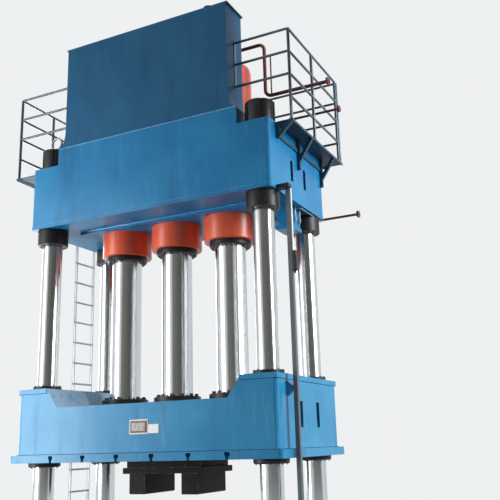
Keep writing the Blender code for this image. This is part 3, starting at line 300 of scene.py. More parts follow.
def slab(low: tuple[float, float, float], high: tuple[float, float, float], corner: float,
         edge: float) -> Surface:
    """A plate between two corners, with round upright corners and a small bevel above and below.

    Its outline is four quarter circles, and its four levels carry that outline drawn in by the
    bevel at both ends.

    Args:
        low: The lowest corner.
        high: The highest corner.
        corner: The radius of the upright corners.
        edge: The bevel's width.

    Returns:
        The plate's surface.
    """
    low, high = np.array(low, float), np.array(high, float)
    middle, half = (low + high) / 2, (high - low) / 2
    angle = np.linspace(0.0, math.pi / 2, 4) + np.arange(4)[:, None] * math.pi / 2
    sign = np.array([(1, 1), (-1, 1), (-1, -1), (1, -1)], float)[:, None]
    arc = np.stack([np.cos(angle), np.sin(angle)], axis=-1)
    insets = np.array([edge, 0.0, 0.0, edge])[:, None, None, None]
    levels = np.array([half[2], half[2] - edge, edge - half[2], -half[2]])
    outline = sign * (half[:2] - corner) + arc * (corner - insets)
    heights = np.broadcast_to(levels[:, None, None, None], (*outline.shape[:3], 1))
    points = np.concatenate([outline, heights], axis=-1).reshape(-1, 3) + middle
    columns = outline.shape[1] * outline.shape[2]
    ends = [np.arange(columns)[None], (3 * columns + np.arange(columns))[::-1][None]]
    return Surface(points, [grid_faces(4, columns, False, True), *ends])


def hex_bolt(flats: float) -> Surface:
    """A bolt head on its washer, on the origin, with the proportions of a standard one.

    Args:
        flats: The width across the flats.

    Returns:
        The head and the washer.
    """
    washer, tall = flats * WASHER_HEIGHT_SHARE, flats * HEAD_HEIGHT_SHARE
    wide = flats * WASHER_RADIUS_SHARE
    across = flats / math.sqrt(3)
    rim = np.array([(wide, washer), (wide, 0.0)])
    head = np.array([(across * CHAMFER_RADIUS_SHARE, tall), (across, tall - flats * CHAMFER_HEIGHT_SHARE),
                     (across, washer)])
    return joined([turned(rim, Vector(), SMALL_SIDES // 2), turned(head, Vector(), 6)])


def bolt_circle(flats: float, centre: Vector, radius: float, level: float, count: int,
                normal: tuple[float, float, float] = UP) -> Surface:
    """Bolt heads spread evenly round an upright axis.

    Head n of N stands at the angle 2 pi (n + 1/2) / N.

    Args:
        flats: The width across a head's flats.
        centre: A point on the axis.
        radius: The circle's radius.
        level: The circle's height.
        count: How many heads.
        normal: The way that they point.

    Returns:
        The heads with their washers.
    """
    angle = (np.arange(count) + 0.5) * 2 * math.pi / count
    spots = np.stack([centre[0] + radius * np.cos(angle), centre[1] + radius * np.sin(angle),
                      np.full(count, level)], axis=-1)
    return hex_bolt(flats).repeated(facing(spots, normal))


def bead(points: list[tuple[float, float, float]], width: float) -> Surface:
    """A weld bead along a run of straight stretches.

    Its radius swells and shrinks as 1 + k cos(2 pi s / pitch) along the length s, where k is the
    ripple's share, which draws the ripples left by the torch. The pitch is drawn coarse, at twice the
    bead's width.

    Args:
        points: The corners of the run.
        width: The bead's radius.

    Returns:
        The bead's surface.
    """
    corners = np.array(points, float)
    parts = []
    for start, end in zip(corners[:-1], corners[1:]):
        length = np.linalg.norm(end - start)
        share = np.linspace(0.0, 1.0, max(3, int(length / width)))
        ripple = 1 + RIPPLE_SHARE * np.cos(share * length / width * math.pi)
        parts.append(swept(start + (end - start) * share[:, None], width * ripple, BEAD_SIDES))
    return joined(parts)


def bent(points: list[tuple[float, float, float]], radius: float, steps: int = 10) -> np.ndarray:
    """A pipe's centre line with a round bend at each inner corner.

    A bend goes from S to E on the circle about C as C + (S - C) cos a + (E - C) sin a.

    Args:
        points: The ends and the corners, which are all square.
        radius: The bend's radius.
        steps: Pieces in each bend.

    Returns:
        The centre line's points.
    """
    corners = np.array(points, float)
    path = [corners[:1]]
    angle = np.linspace(0.0, math.pi / 2, steps + 1)[:, None]
    for before, corner, after in zip(corners, corners[1:], corners[2:]):
        back = (before - corner) / np.linalg.norm(before - corner)
        ahead = (after - corner) / np.linalg.norm(after - corner)
        centre = corner + (back + ahead) * radius
        path.append(centre - ahead * radius * np.cos(angle) - back * radius * np.sin(angle))
    path.append(corners[-1:])
    return np.concatenate(path)


# Finishes

def linear(colour: str) -> tuple[float, float, float, float]:
    """Turn an sRGB hex colour into linear light, by the sRGB standard's own curve.

    Args:
        colour: Six hex digits after a hash mark.

    Returns:
        Red, green, blue and an alpha of one.
    """
    parts = [int(colour[place:place + 2], 16) / 255 for place in (1, 3, 5)]
    red, green, blue = (part / 12.92 if part <= 0.04045 else ((part + 0.055) / 1.055) ** 2.4
                        for part in parts)
    return red, green, blue, 1.0


def add(tree: bpy.types.NodeTree, kind: str, inputs: dict[str | int, object] | None = None,
        **settings: object) -> bpy.types.Node:
    """Add a node with its settings, its values and its links.

    Args:
        tree: The material's or the world's nodes.
        kind: The node's type.
        inputs: What each input takes: another node's output, or a value.
        **settings: The node's own properties.

    Returns:
        The new node.
    """
    node = tree.nodes.new(kind)
    for name, value in settings.items():
        setattr(node, name, value)
    for socket, value in (inputs or {}).items():
        if isinstance(value, bpy.types.NodeSocket):
            tree.links.new(value, node.inputs[socket])
        else:
            node.inputs[socket].default_value = value
    return node


# A colour or an amount in a material: fixed, or worked out by a node
Tone = bpy.types.NodeSocket | tuple[float, float, float, float]
Amount = bpy.types.NodeSocket | float
# What all finishes share: the clear coat's gloss, how fine noise is, and how far a seed shifts it
MM_PER_M = 1000
COAT_ROUGHNESS = 0.12
NOISE_DETAIL = 4.0
SEED_STEPS = (3.7, 1.9, 5.3)
RELIEF_SEED = 20
# Dust on faces that look up, drawn pale on the slide and the rails as painted highlight: its grain in
# millimetres, the upward part of a normal where it starts and is full, the noise that it covers, and how
# much rougher it makes the surface
DUST_AND_SHEEN_SEED = 7
DUST_AND_SHEEN_GRAIN = (90.0, 90.0, 90.0)
DUST_AND_SHEEN_SLOPE = (0.2, 0.7)
DUST_AND_SHEEN_COVER = (0.1, 0.6)
DUST_AND_SHEEN_DULLING = 0.35
# Chipped edges: their grain in millimetres, how alike the true and the rounded normal are where chips
# start and are full, and the noise that they cover
CHIP_SEED = 9
CHIP_GRAIN = (70.0, 70.0, 70.0)
CHIP_TURN = (0.985, 0.86)
CHIP_COVER = (0.4, 0.62)
CHIP_STRENGTH = 0.8
BEVEL_SAMPLES = 6


@dataclass(frozen=True)
class Veil:
    """A second colour that lies over a finish in soft patches or streaks.

    The pattern's size is in millimetres along X, Y and Z, and the patch covers where the noise lies
    between low and high. dulling is added to the roughness where it covers.
    """

    colour: str
    size: tuple[float, float, float]
    low: float
    high: float
    strength: float
    dulling: float = 0.0


@dataclass(frozen=True)
class Relief:
    """A bump whose grain and depth are in millimetres."""

    size: tuple[float, float, float]
    depth: float


@dataclass(frozen=True)
class Finish:
    """A surface finish: its colour, how it shines, and what time and handling left on it; on some finishes
    painted highlight, and on others painted shade.
    """

    name: str
    slot: Slot
    colour: str
    roughness: float
    metallic: float = 0.0
    specular: float = 0.5
    coat: float = 0.0
    veils: tuple[Veil, ...] = ()
    reliefs: tuple[Relief, ...] = ()
    dust_and_sheen: str | None = None
    dust_and_sheen_strength: float = 0.5
    worn: str | None = None
    worn_width: float = 6.0

    def build(self) -> bpy.types.Material:
        """Make the material, from its plain colour outwards.

        Returns:
            The material, ready for a piece.
        """
        material = bpy.data.materials.new(self.name)
        material.use_nodes = True
        tree = material.node_tree
        shader = tree.nodes["Principled BSDF"]
        for socket, value in (("Metallic", self.metallic), ("Specular IOR Level", self.specular),
                              ("Coat Weight", self.coat), ("Coat Roughness", COAT_ROUGHNESS)):
            shader.inputs[socket].default_value = value
        coords = add(tree, "ShaderNodeTexCoord").outputs["Object"]
        normal = add(tree, "ShaderNodeNewGeometry").outputs["Normal"]
        colour, rough = self.veiled(tree, coords)
        if self.dust_and_sheen:
            colour, rough = self.with_dust_and_sheen(tree, coords, normal, colour, rough)
        if self.worn:
            colour = self.chipped(tree, coords, normal, colour)
        for socket, value in (("Base Color", colour), ("Roughness", rough)):
            if isinstance(value, bpy.types.NodeSocket):
                tree.links.new(value, shader.inputs[socket])
            else:
                shader.inputs[socket].default_value = value
        self.emboss(tree, coords, shader)
        return material

    def veiled(self, tree: bpy.types.NodeTree, coords: bpy.types.NodeSocket) -> tuple[Tone, Amount]:
        """Mix the veils over the colour one by one.

        Args:
            tree: The material's nodes.
            coords: The object's coordinates, in metres.

        Returns:
            The colour and the roughness so far.
        """
        colour: Tone = linear(self.colour)
        rough: Amount = self.roughness
        for index, veil in enumerate(self.veils):
            share = self.pattern(tree, coords, veil.size, index, veil.low, veil.high, veil.strength)
            colour = add(tree, "ShaderNodeMix", {0: share, 6: colour, 7: linear(veil.colour)},
                         data_type="RGBA").outputs[2]
            if veil.dulling:
                rough = add(tree, "ShaderNodeMath", {0: share, 1: veil.dulling / veil.strength, 2: rough},
                            operation="MULTIPLY_ADD", use_clamp=True).outputs[0]
        return colour, rough

    def with_dust_and_sheen(self, tree: bpy.types.NodeTree, coords: bpy.types.NodeSocket, normal: bpy.types.NodeSocket,
               colour: Tone, rough: Amount) -> tuple[Tone, Amount]:
        """Lay a dusting where the surface faces up; on the slide and the rails its pale colour is painted
        highlight.

        Args:
            tree: The material's nodes.
            coords: The object's coordinates, in metres.
            normal: The surface's normal.
            colour: The colour under the dusting.
            rough: The roughness under it.

        Returns:
            The colour and the roughness with the dusting.
        """
        up = add(tree, "ShaderNodeSeparateXYZ", {0: normal}).outputs[2]
        low, high = DUST_AND_SHEEN_SLOPE
        lying = add(tree, "ShaderNodeMapRange", {0: up, 1: low, 2: high, 3: 0.0, 4: 1.0}).outputs[0]
        grains = self.pattern(tree, coords, DUST_AND_SHEEN_GRAIN, DUST_AND_SHEEN_SEED, *DUST_AND_SHEEN_COVER, self.dust_and_sheen_strength)
        share = add(tree, "ShaderNodeMath", {0: lying, 1: grains}, operation="MULTIPLY").outputs[0]
        colour = add(tree, "ShaderNodeMix", {0: share, 6: colour, 7: linear(self.dust_and_sheen)},
                     data_type="RGBA").outputs[2]
        rough = add(tree, "ShaderNodeMath", {0: share, 1: DUST_AND_SHEEN_DULLING, 2: rough},
                    operation="MULTIPLY_ADD", use_clamp=True).outputs[0]
        return colour, rough

    def chipped(self, tree: bpy.types.NodeTree, coords: bpy.types.NodeSocket, normal: bpy.types.NodeSocket,
                colour: Tone) -> Tone:
        """Chip the edges, where a normal rounded over their width leaves the true one.

        Args:
            tree: The material's nodes.
            coords: The object's coordinates, in metres.
            normal: The surface's true normal.
            colour: The colour of the whole surface.

        Returns:
            The colour with the chips.
        """
        soft = add(tree, "ShaderNodeBevel", {0: self.worn_width / MM_PER_M}, samples=BEVEL_SAMPLES)
        alike = add(tree, "ShaderNodeVectorMath", {0: soft.outputs[0], 1: normal},
                    operation="DOT_PRODUCT").outputs["Value"]
        first, full = CHIP_TURN
        edge = add(tree, "ShaderNodeMapRange", {0: alike, 1: first, 2: full, 3: 0.0, 4: 1.0}).outputs[0]
        chips = self.pattern(tree, coords, CHIP_GRAIN, CHIP_SEED, *CHIP_COVER, CHIP_STRENGTH)
        share = add(tree, "ShaderNodeMath", {0: edge, 1: chips}, operation="MULTIPLY").outputs[0]
        return add(tree, "ShaderNodeMix", {0: share, 6: colour, 7: linear(self.worn)},
                   data_type="RGBA").outputs[2]

    def emboss(self, tree: bpy.types.NodeTree, coords: bpy.types.NodeSocket, shader: bpy.types.Node) -> None:
        """Chain the reliefs, one bump on the next, into the shader's normal.

        Args:
            tree: The material's nodes.
            coords: The object's coordinates, in metres.
            shader: The node that takes the normal.
        """
        bump = None
        for index, relief in enumerate(self.reliefs):
            height = self.pattern(tree, coords, relief.size, RELIEF_SEED + index, 0.0, 1.0, 1.0)
            inputs = {"Strength": 1.0, "Distance": relief.depth / MM_PER_M, "Height": height}
            if bump:
                inputs["Normal"] = bump.outputs[0]
            bump = add(tree, "ShaderNodeBump", inputs)
        if bump:
            tree.links.new(bump.outputs[0], shader.inputs["Normal"])

    @staticmethod
    def pattern(tree: bpy.types.NodeTree, coords: bpy.types.NodeSocket, size: tuple[float, float, float],
                seed: int, low: float, high: float, strength: float) -> bpy.types.NodeSocket:
        """Noise of a real size, as a share from zero to the strength.

        Args:
            tree: The material's nodes.
            coords: The object's coordinates, in metres.
            size: The pattern's size along each axis, in millimetres.
            seed: A whole number that keeps one pattern apart from the next.
            low: The noise at which the share is zero.
            high: The noise at which it is full.
            strength: The full share.

        Returns:
            The share's output.
        """
        scale = tuple(MM_PER_M / part for part in size)
        shift = tuple(seed * step for step in SEED_STEPS)
        place = add(tree, "ShaderNodeMapping", {"Vector": coords, "Location": shift, "Scale": scale})
        noise = add(tree, "ShaderNodeTexNoise",
                    {"Vector": place.outputs[0], "Scale": 1.0, "Detail": NOISE_DETAIL})
        return add(tree, "ShaderNodeMapRange", {0: noise.outputs[0], 1: low, 2: high, 3: 0.0, 4: strength},
                   interpolation_type="SMOOTHSTEP").outputs[0]


# Alkyd enamel sprayed on welded plate: satin, a little uneven, with runs and the plate's waves
PLATE_WAVES = Relief((420.0, 420.0, 420.0), 0.9)
SPRAY_GRAIN = Relief((14.0, 14.0, 14.0), 0.05)
CROWN_BLUE = Finish(
    "crown_blue_enamel", Slot.CROWN, "#1173A8", 0.34, specular=0.22, coat=0.08,
    veils=(Veil("#2C95C6", (900.0, 900.0, 700.0), 0.35, 0.75, 0.5),
           Veil("#134F76", (260.0, 260.0, 1300.0), 0.5, 0.8, 0.45, 0.08),
           Veil("#6CB8D8", (90.0, 90.0, 500.0), 0.5, 0.8, 0.14, 0.1)),
    reliefs=(PLATE_WAVES, SPRAY_GRAIN), dust_and_sheen="#8D9497", worn="#9DBDD0")
# On the slide, the pale colour laid on faces that look up is painted highlight on the shoulders' slopes, over
# a little dust.
SLIDE_BLUE = Finish(
    "slide_blue_enamel", Slot.SLIDE, "#2085B6", 0.36, specular=0.27, coat=0.08,
    veils=(Veil("#45A2CE", (800.0, 800.0, 600.0), 0.35, 0.75, 0.5),
           Veil("#17648E", (180.0, 180.0, 1100.0), 0.48, 0.78, 0.45, 0.08),
           Veil("#8CCBE2", (90.0, 90.0, 500.0), 0.5, 0.8, 0.16, 0.1)),
    reliefs=(PLATE_WAVES, SPRAY_GRAIN), dust_and_sheen="#CBD9E0", dust_and_sheen_strength=0.7, worn="#153E5E", worn_width=7.0)
TANK_BLUE = Finish(
    "tank_slate_enamel", Slot.TANK, "#1B5880", 0.42, specular=0.2,
    veils=(Veil("#2C6D92", (700.0, 700.0, 900.0), 0.4, 0.75, 0.5),
           Veil("#17405C", (200.0, 200.0, 1200.0), 0.5, 0.8, 0.4, 0.08)),
    reliefs=(Relief((520.0, 520.0, 520.0), 1.6), SPRAY_GRAIN), dust_and_sheen="#7E878B", worn="#5F8BA8")
# The decks and their brackets: the tank's slate paint drawn darker as painted shade, dull, with boot dust on
# top
DECK_SLATE_PAINTED_SHADE = Finish(
    "deck_slate_painted_shade", Slot.TANK, "#2A4658", 0.5, specular=0.25,
    veils=(Veil("#3B6076", (500.0, 500.0, 500.0), 0.4, 0.75, 0.5),
           Veil("#1C2E3A", (120.0, 120.0, 600.0), 0.5, 0.8, 0.5, 0.08)),
    reliefs=(SPRAY_GRAIN,), dust_and_sheen="#6F7A80", worn="#6F93A8", worn_width=4.0)
# The same enamel in orange, thin on machined cylinders, with oil darkening it
CYLINDER_ORANGE = Finish(
    "cylinder_orange_enamel", Slot.CYLINDER, "#D9522F", 0.38, coat=0.2,
    veils=(Veil("#E8704A", (300.0, 300.0, 260.0), 0.4, 0.75, 0.45),
           Veil("#8E2C17", (60.0, 60.0, 420.0), 0.55, 0.82, 0.4, -0.1)),
    reliefs=(SPRAY_GRAIN,), dust_and_sheen="#8C7468")
# Hard chrome on ground steel: mirror-like, with faint bands of oil along it and a fine ground grain
CHROME = Finish(
    "ground_hard_chrome", Slot.CHROME, "#CFD2D4", 0.2, metallic=1.0,
    veils=(Veil("#A5A9AB", (90.0, 90.0, 2600.0), 0.45, 0.75, 0.5, 0.02),
           Veil("#8F8A80", (30.0, 30.0, 900.0), 0.62, 0.82, 0.35, 0.04)),
    reliefs=(Relief((260.0, 260.0, 4.0), 0.0006),))
# Steel blacked in hot oil: near black, with a dull sheen and a brown cast where the oil has dried
BLACKED = Finish(
    "oil_blacked_steel", Slot.BLACKED, "#26272A", 0.42, metallic=0.55,
    veils=(Veil("#37302A", (120.0, 120.0, 90.0), 0.5, 0.8, 0.5, 0.12),
           Veil("#5B5F63", (18.0, 18.0, 18.0), 0.66, 0.8, 0.25, -0.1)),
    reliefs=(Relief((9.0, 9.0, 9.0), 0.06),), dust_and_sheen="#4F4A45", worn="#777B80", worn_width=5.0)
# The striker, painted over with the slide and rubbed bare by the roller
STRIKER_PAINT = replace(SLIDE_BLUE, name="striker_paint", slot=Slot.BLACKED, worn="#777B80")
# Tool steel used bare: dark brown scale with rubbed grey places
DIE_STEEL = Finish(
    "scaled_tool_steel", Slot.DIE, "#141210", 0.5, metallic=0.4, specular=0.15,
    veils=(Veil("#32241D", (140.0, 140.0, 140.0), 0.48, 0.75, 0.6, 0.1),
           Veil("#55534F", (45.0, 45.0, 45.0), 0.62, 0.78, 0.35, -0.15)),
    reliefs=(Relief((22.0, 22.0, 22.0), 0.3),), worn="#85827E", worn_width=5.0)
# Milled steel: bright, with the cutter's lines across it and a film of oil
MILLED = Finish(
    "milled_steel", Slot.MACHINED, "#A3A6A8", 0.3, metallic=1.0,
    veils=(Veil("#6B6C6B", (160.0, 160.0, 160.0), 0.45, 0.75, 0.5, 0.12),
           Veil("#7A5B43", (60.0, 60.0, 60.0), 0.68, 0.82, 0.35, 0.2)),
    reliefs=(Relief((900.0, 9.0, 900.0), 0.05),), worn="#CDD0D2", worn_width=4.0)
# Brushed paint on tube, dark slate, with pale patches and pale upper faces drawn in as painted highlight
RAIL_SLATE = Finish(
    "rail_slate_enamel", Slot.RAIL, "#2B4A5C", 0.32, coat=0.4,
    veils=(Veil("#7FA6B8", (60.0, 60.0, 240.0), 0.52, 0.78, 0.6, 0.1),), reliefs=(SPRAY_GRAIN,),
    dust_and_sheen="#B9C4C9", dust_and_sheen_strength=0.8)
# Zinc on ladder steel: grey spangle with pale bloom
LADDER_GREY = Finish(
    "galvanised_ladder", Slot.LADDER, "#9FA9B0", 0.45, metallic=0.35,
    veils=(Veil("#5E6970", (90.0, 90.0, 300.0), 0.48, 0.78, 0.6, 0.1),
           Veil("#D5DCE0", (35.0, 35.0, 35.0), 0.55, 0.8, 0.4)), reliefs=(SPRAY_GRAIN,))
# Grey enamel on rolled channel: even, with pale patches drawn in as painted highlight
RAIL_STEEL = Finish(
    "channel_grey_enamel", Slot.LADDER, "#5C666C", 0.48, metallic=0.1,
    veils=(Veil("#6F787D", (40.0, 40.0, 420.0), 0.5, 0.8, 0.5, 0.1),
           Veil("#DCE1E3", (30.0, 30.0, 120.0), 0.6, 0.82, 0.4)), reliefs=(SPRAY_GRAIN,))
# Red enamel brushed on pipe, darkened by oil
PIPE_RED = Finish(
    "pipe_red_enamel", Slot.PIPE, "#6A2226", 0.4, coat=0.15,
    veils=(Veil("#8E3A38", (80.0, 80.0, 80.0), 0.45, 0.75, 0.45),
           Veil("#35161A", (40.0, 40.0, 200.0), 0.58, 0.8, 0.5, 0.1)), reliefs=(SPRAY_GRAIN,), dust_and_sheen="#7D6A66")
# Moulded nylon: dull black with a fine grain
SWITCH_BLACK = Finish(
    "glass_filled_nylon", Slot.SWITCH, "#17181A", 0.55,
    veils=(Veil("#3A3B3D", (50.0, 50.0, 50.0), 0.5, 0.8, 0.4, 0.1),),
    reliefs=(Relief((5.0, 5.0, 5.0), 0.05),))
# Enamel over a weld bead, drawn paler than the plate's paint as painted highlight; its ripples break the
# light
HIGHLIT_WELD_BLUE = Finish(
    "weld_painted_highlight", Slot.CROWN, "#5FA3D2", 0.35, coat=0.25,
    veils=(Veil("#2C73A8", (40.0, 40.0, 40.0), 0.4, 0.7, 0.6),), reliefs=(Relief((8.0, 8.0, 8.0), 0.3),))
# Enamel in a crease under a plate's edge, drawn dark as painted shadow
PAINTED_SHADOW_SEAM = replace(
    HIGHLIT_WELD_BLUE, name="painted_shadow_seam", slot=Slot.SLIDE, colour="#0F3550", roughness=0.75, coat=0.0,
    specular=0.08, veils=(Veil("#0A2233", (40.0, 40.0, 40.0), 0.4, 0.7, 0.6),))
# The bare plates: white enamel, brown anodising, etched aluminium
PLATE_WHITE = Finish(
    "enamelled_frame", Slot.MACHINED, "#F1F3F2", 0.35,
    veils=(Veil("#CDD1CE", (60.0, 60.0, 60.0), 0.5, 0.8, 0.4),), reliefs=(SPRAY_GRAIN,))
PLATE_BROWN = Finish(
    "anodised_bezel", Slot.MACHINED, "#5B4640", 0.4, metallic=0.3,
    veils=(Veil("#352826", (40.0, 40.0, 40.0), 0.45, 0.75, 0.6),), reliefs=(SPRAY_GRAIN,))
PLATE_PALE = Finish(
    "etched_aluminium", Slot.MACHINED, "#A39E98", 0.45, metallic=0.2,
    veils=(Veil("#5E5450", (26.0, 26.0, 26.0), 0.42, 0.7, 0.7),), reliefs=(Relief((60.0, 60.0, 1.5), 0.01),))


class Paintbox:
    """Makes each finish once and hands it out."""

    def __init__(self) -> None:
        """Start with no materials made."""
        self.made: dict[str, bpy.types.Material] = {}

    def get(self, finish: Finish) -> bpy.types.Material:
        """Hand out a finish's material, made the first time it is asked for.

        Args:
            finish: The finish.

        Returns:
            Its material.
        """
        if finish.name not in self.made:
            self.made[finish.name] = finish.build()
        return self.made[finish.name]


PAINTS = Paintbox()


# Pieces

def place(name: str, surface: Surface, finish: Finish, body: Body, replaced: tuple[str, ...] = ()) -> None:
    """Make a piece of the press from a surface.

    Args:
        name: The piece's name.
        surface: Its shape, in the frame's own metres.
        finish: Its finish.
        body: The body that it rides on.
        replaced: The solids that it stands for.
    """
    mesh = bpy.data.meshes.new(name)
    corners = np.concatenate([group.ravel() for group in surface.faces])
    sizes = np.concatenate([np.full(len(group), group.shape[1]) for group in surface.faces])
    mesh.vertices.add(len(surface.points))
    mesh.vertices.foreach_set("co", surface.points.astype(np.float32).ravel())
    mesh.loops.add(len(corners))
    mesh.loops.foreach_set("vertex_index", corners.astype(np.int32))
    mesh.polygons.add(len(sizes))
    mesh.polygons.foreach_set("loop_start", (np.cumsum(sizes) - sizes).astype(np.int32))
    mesh.update(calc_edges=True)
    mesh.validate()
    mesh.shade_smooth()
    mesh.set_sharp_from_angle(angle=SHARP_ANGLE)
    mesh.materials.append(PAINTS.get(finish))
    piece = bpy.data.objects.new(name, mesh)
    bpy.context.scene.collection.objects.link(piece)
    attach(piece, body.value)
    if replaced:
        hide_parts(*replaced)
    LOG.info("%s: %d points on %s", name, len(surface.points), body.value)


def dress(node: str, finish: Finish) -> None:
    """Give a solid that stays its finish.

    Args:
        node: The solid's name.
        finish: Its finish.
    """
    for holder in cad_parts[node].material_slots:
        holder.material = PAINTS.get(finish)
    LOG.info("%s: dressed", node)


def round_box(node: str) -> tuple[Vector, float, float, float]:
    """Measure an upright round solid.

    Args:
        node: The solid's name.

    Returns:
        A point on its axis, its radius, its foot and its top.
    """
    low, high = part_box(node)
    return (low + high) / 2, (high.x - low.x) / 2, low.z, high.z


@dataclass
class Columns:
    """The four tie columns with their nuts and split collars.

    The eye's shares are the radii of its neck and its foot and the height of its neck, each as a
    share of its bar's radius.
    """

    chamfer: float = 0.02
    edge: float = 0.008
    seam: float = 0.006
    slot_width: float = 0.036
    slot_depth: float = 0.014
    slots: int = 6
    eye_radius: float = 0.085
    eye_bar: float = 0.016
    eye_steps: int = 49
    eye_shares: tuple[float, float, float] = (1.4, 2.2, 1.6)
    screw: float = 0.014
    screws: int = 8

    def build(self) -> None:
        """Build every column with what is clamped on it."""
        for name in COLUMNS:
            centre, radius, foot, top = round_box("column_" + name)
            profile = softened([(radius - self.chamfer, top), (radius, top - self.chamfer), (radius, foot)],
                               self.edge, False)
            place("column_bar_" + name, turned(profile, centre), CHROME, Body.FRAME, ("column_" + name,))
            self.build_collar(name, centre, radius + FIT)
            self.build_nut(name, centre, radius + FIT)
            dress("base_nut_" + name, BLACKED)
        self.build_eye()

    def build_collar(self, name: str, centre: Vector, bore: float) -> None:
        """A collar in two halves, clamped round the column under the crown.

        Args:
            name: The column's place.
            centre: A point on its axis.
            bore: The collar's bore radius.
        """
        _, radius, low, high = round_box("collar_" + name)
        profile = softened([(bore, high), (radius, high), (radius, low), (bore, low)], self.edge, True)
        gap = self.seam / radius
        halves = [turned(profile, centre, ROUND_SIDES // 2, True, start + gap / 2, math.pi - gap)
                  for start in (0.0, math.pi)]
        screws = bolt_circle(self.screw, centre, (radius + bore) / 2, low, self.screws, DOWN)
        place("split_collar_" + name, joined([*halves, screws]), BLACKED, Body.FRAME, ("collar_" + name,))

    def build_nut(self, name: str, centre: Vector, bore: float) -> None:
        """A round nut with spanner slots.

        The radius at angle a is the nut's own, less the slot's depth where a lies inside a slot.

        Args:
            name: The column's place.
            centre: A point on its axis.
            bore: The nut's bore radius.
        """
        _, radius, low, high = round_box("crown_nut_" + name)
        profile = softened([(bore, high), (radius, high), (radius, low), (bore, low)], self.edge, True)
        surface = turned(profile, centre, ROUND_SIDES * 2, True)
        offset = surface.points[:, :2] - np.array(centre[:2])
        reach = np.linalg.norm(offset, axis=1)
        angle = np.arctan2(offset[:, 1], offset[:, 0]) * self.slots / (2 * math.pi)
        off_slot = np.abs(angle - np.round(angle)) * 2 * math.pi / self.slots * radius
        floor = radius - self.slot_depth
        cut = (off_slot < self.slot_width / 2) & (reach > floor)
        surface.points[cut, :2] = np.array(centre[:2]) + offset[cut] / reach[cut, None] * floor
        place("slotted_nut_" + name, surface, BLACKED, Body.FRAME, ("crown_nut_" + name,))

    def build_eye(self) -> None:
        """The lifting eye screwed into the end of the front left column.

        The ring is a circle of radius R in the XZ plane, and its bar a circle carried round it.
        """
        centre, _, _, top = round_box("column_front_left")
        bar = self.eye_bar
        level = top + self.eye_radius + bar * 2
        angle = np.linspace(0.0, 2 * math.pi, self.eye_steps)
        ring = np.stack([centre.x + self.eye_radius * np.cos(angle), np.full(len(angle), centre.y),
                         level + self.eye_radius * np.sin(angle)], axis=-1)
        neck, foot, rise = (bar * share for share in self.eye_shares)
        collar = softened([(neck, top + rise), (foot, top + bar), (foot, top)], bar / 3, False)
        place("lifting_eye", joined([swept(ring, bar), turned(collar, centre, SMALL_SIDES)]),
              LADDER_GREY, Body.FRAME)


@dataclass
class Crown:
    """The upper beam and its welds."""

    weld: float = 0.007
    doubler_drop: float = 0.035
    doubler_half: tuple[float, float] = (1.3, 0.42)
    end_height: float = 0.864
    base_edge: float = 0.05

    def build(self) -> None:
        """Dress the crown and lay its welds."""
        dress("crown", CROWN_BLUE)
        low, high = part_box("crown")
        base = low.z + self.doubler_drop
        end_top = base + self.end_height
        half_x, half_y = self.doubler_half
        doubler = [(-half_x, -half_y, base), (half_x, -half_y, base), (half_x, half_y, base),
                   (-half_x, half_y, base), (-half_x, -half_y, base)]
        beads = [bead(doubler, self.weld)]
        tank_low, tank_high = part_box("oil_tank")
        for y in (tank_low.y, tank_high.y):
            beads.append(bead([(tank_low.x, y, high.z), (tank_high.x, y, high.z)], self.weld))
        for x in (tank_low.x, tank_high.x):
            beads.append(bead([(x, low.y + self.base_edge, end_top), (x, high.y - self.base_edge, end_top)],
                              self.weld))
        edge = base + self.base_edge
        for y in (low.y + self.weld / 2, high.y - self.weld / 2):
            beads.append(bead([(low.x + self.base_edge, y, edge), (high.x - self.base_edge, y, edge)],
                              self.weld / 2))
        # The beads take the pale weld finish, a painted highlight
        place("crown_welds", joined(beads), HIGHLIT_WELD_BLUE, Body.FRAME)


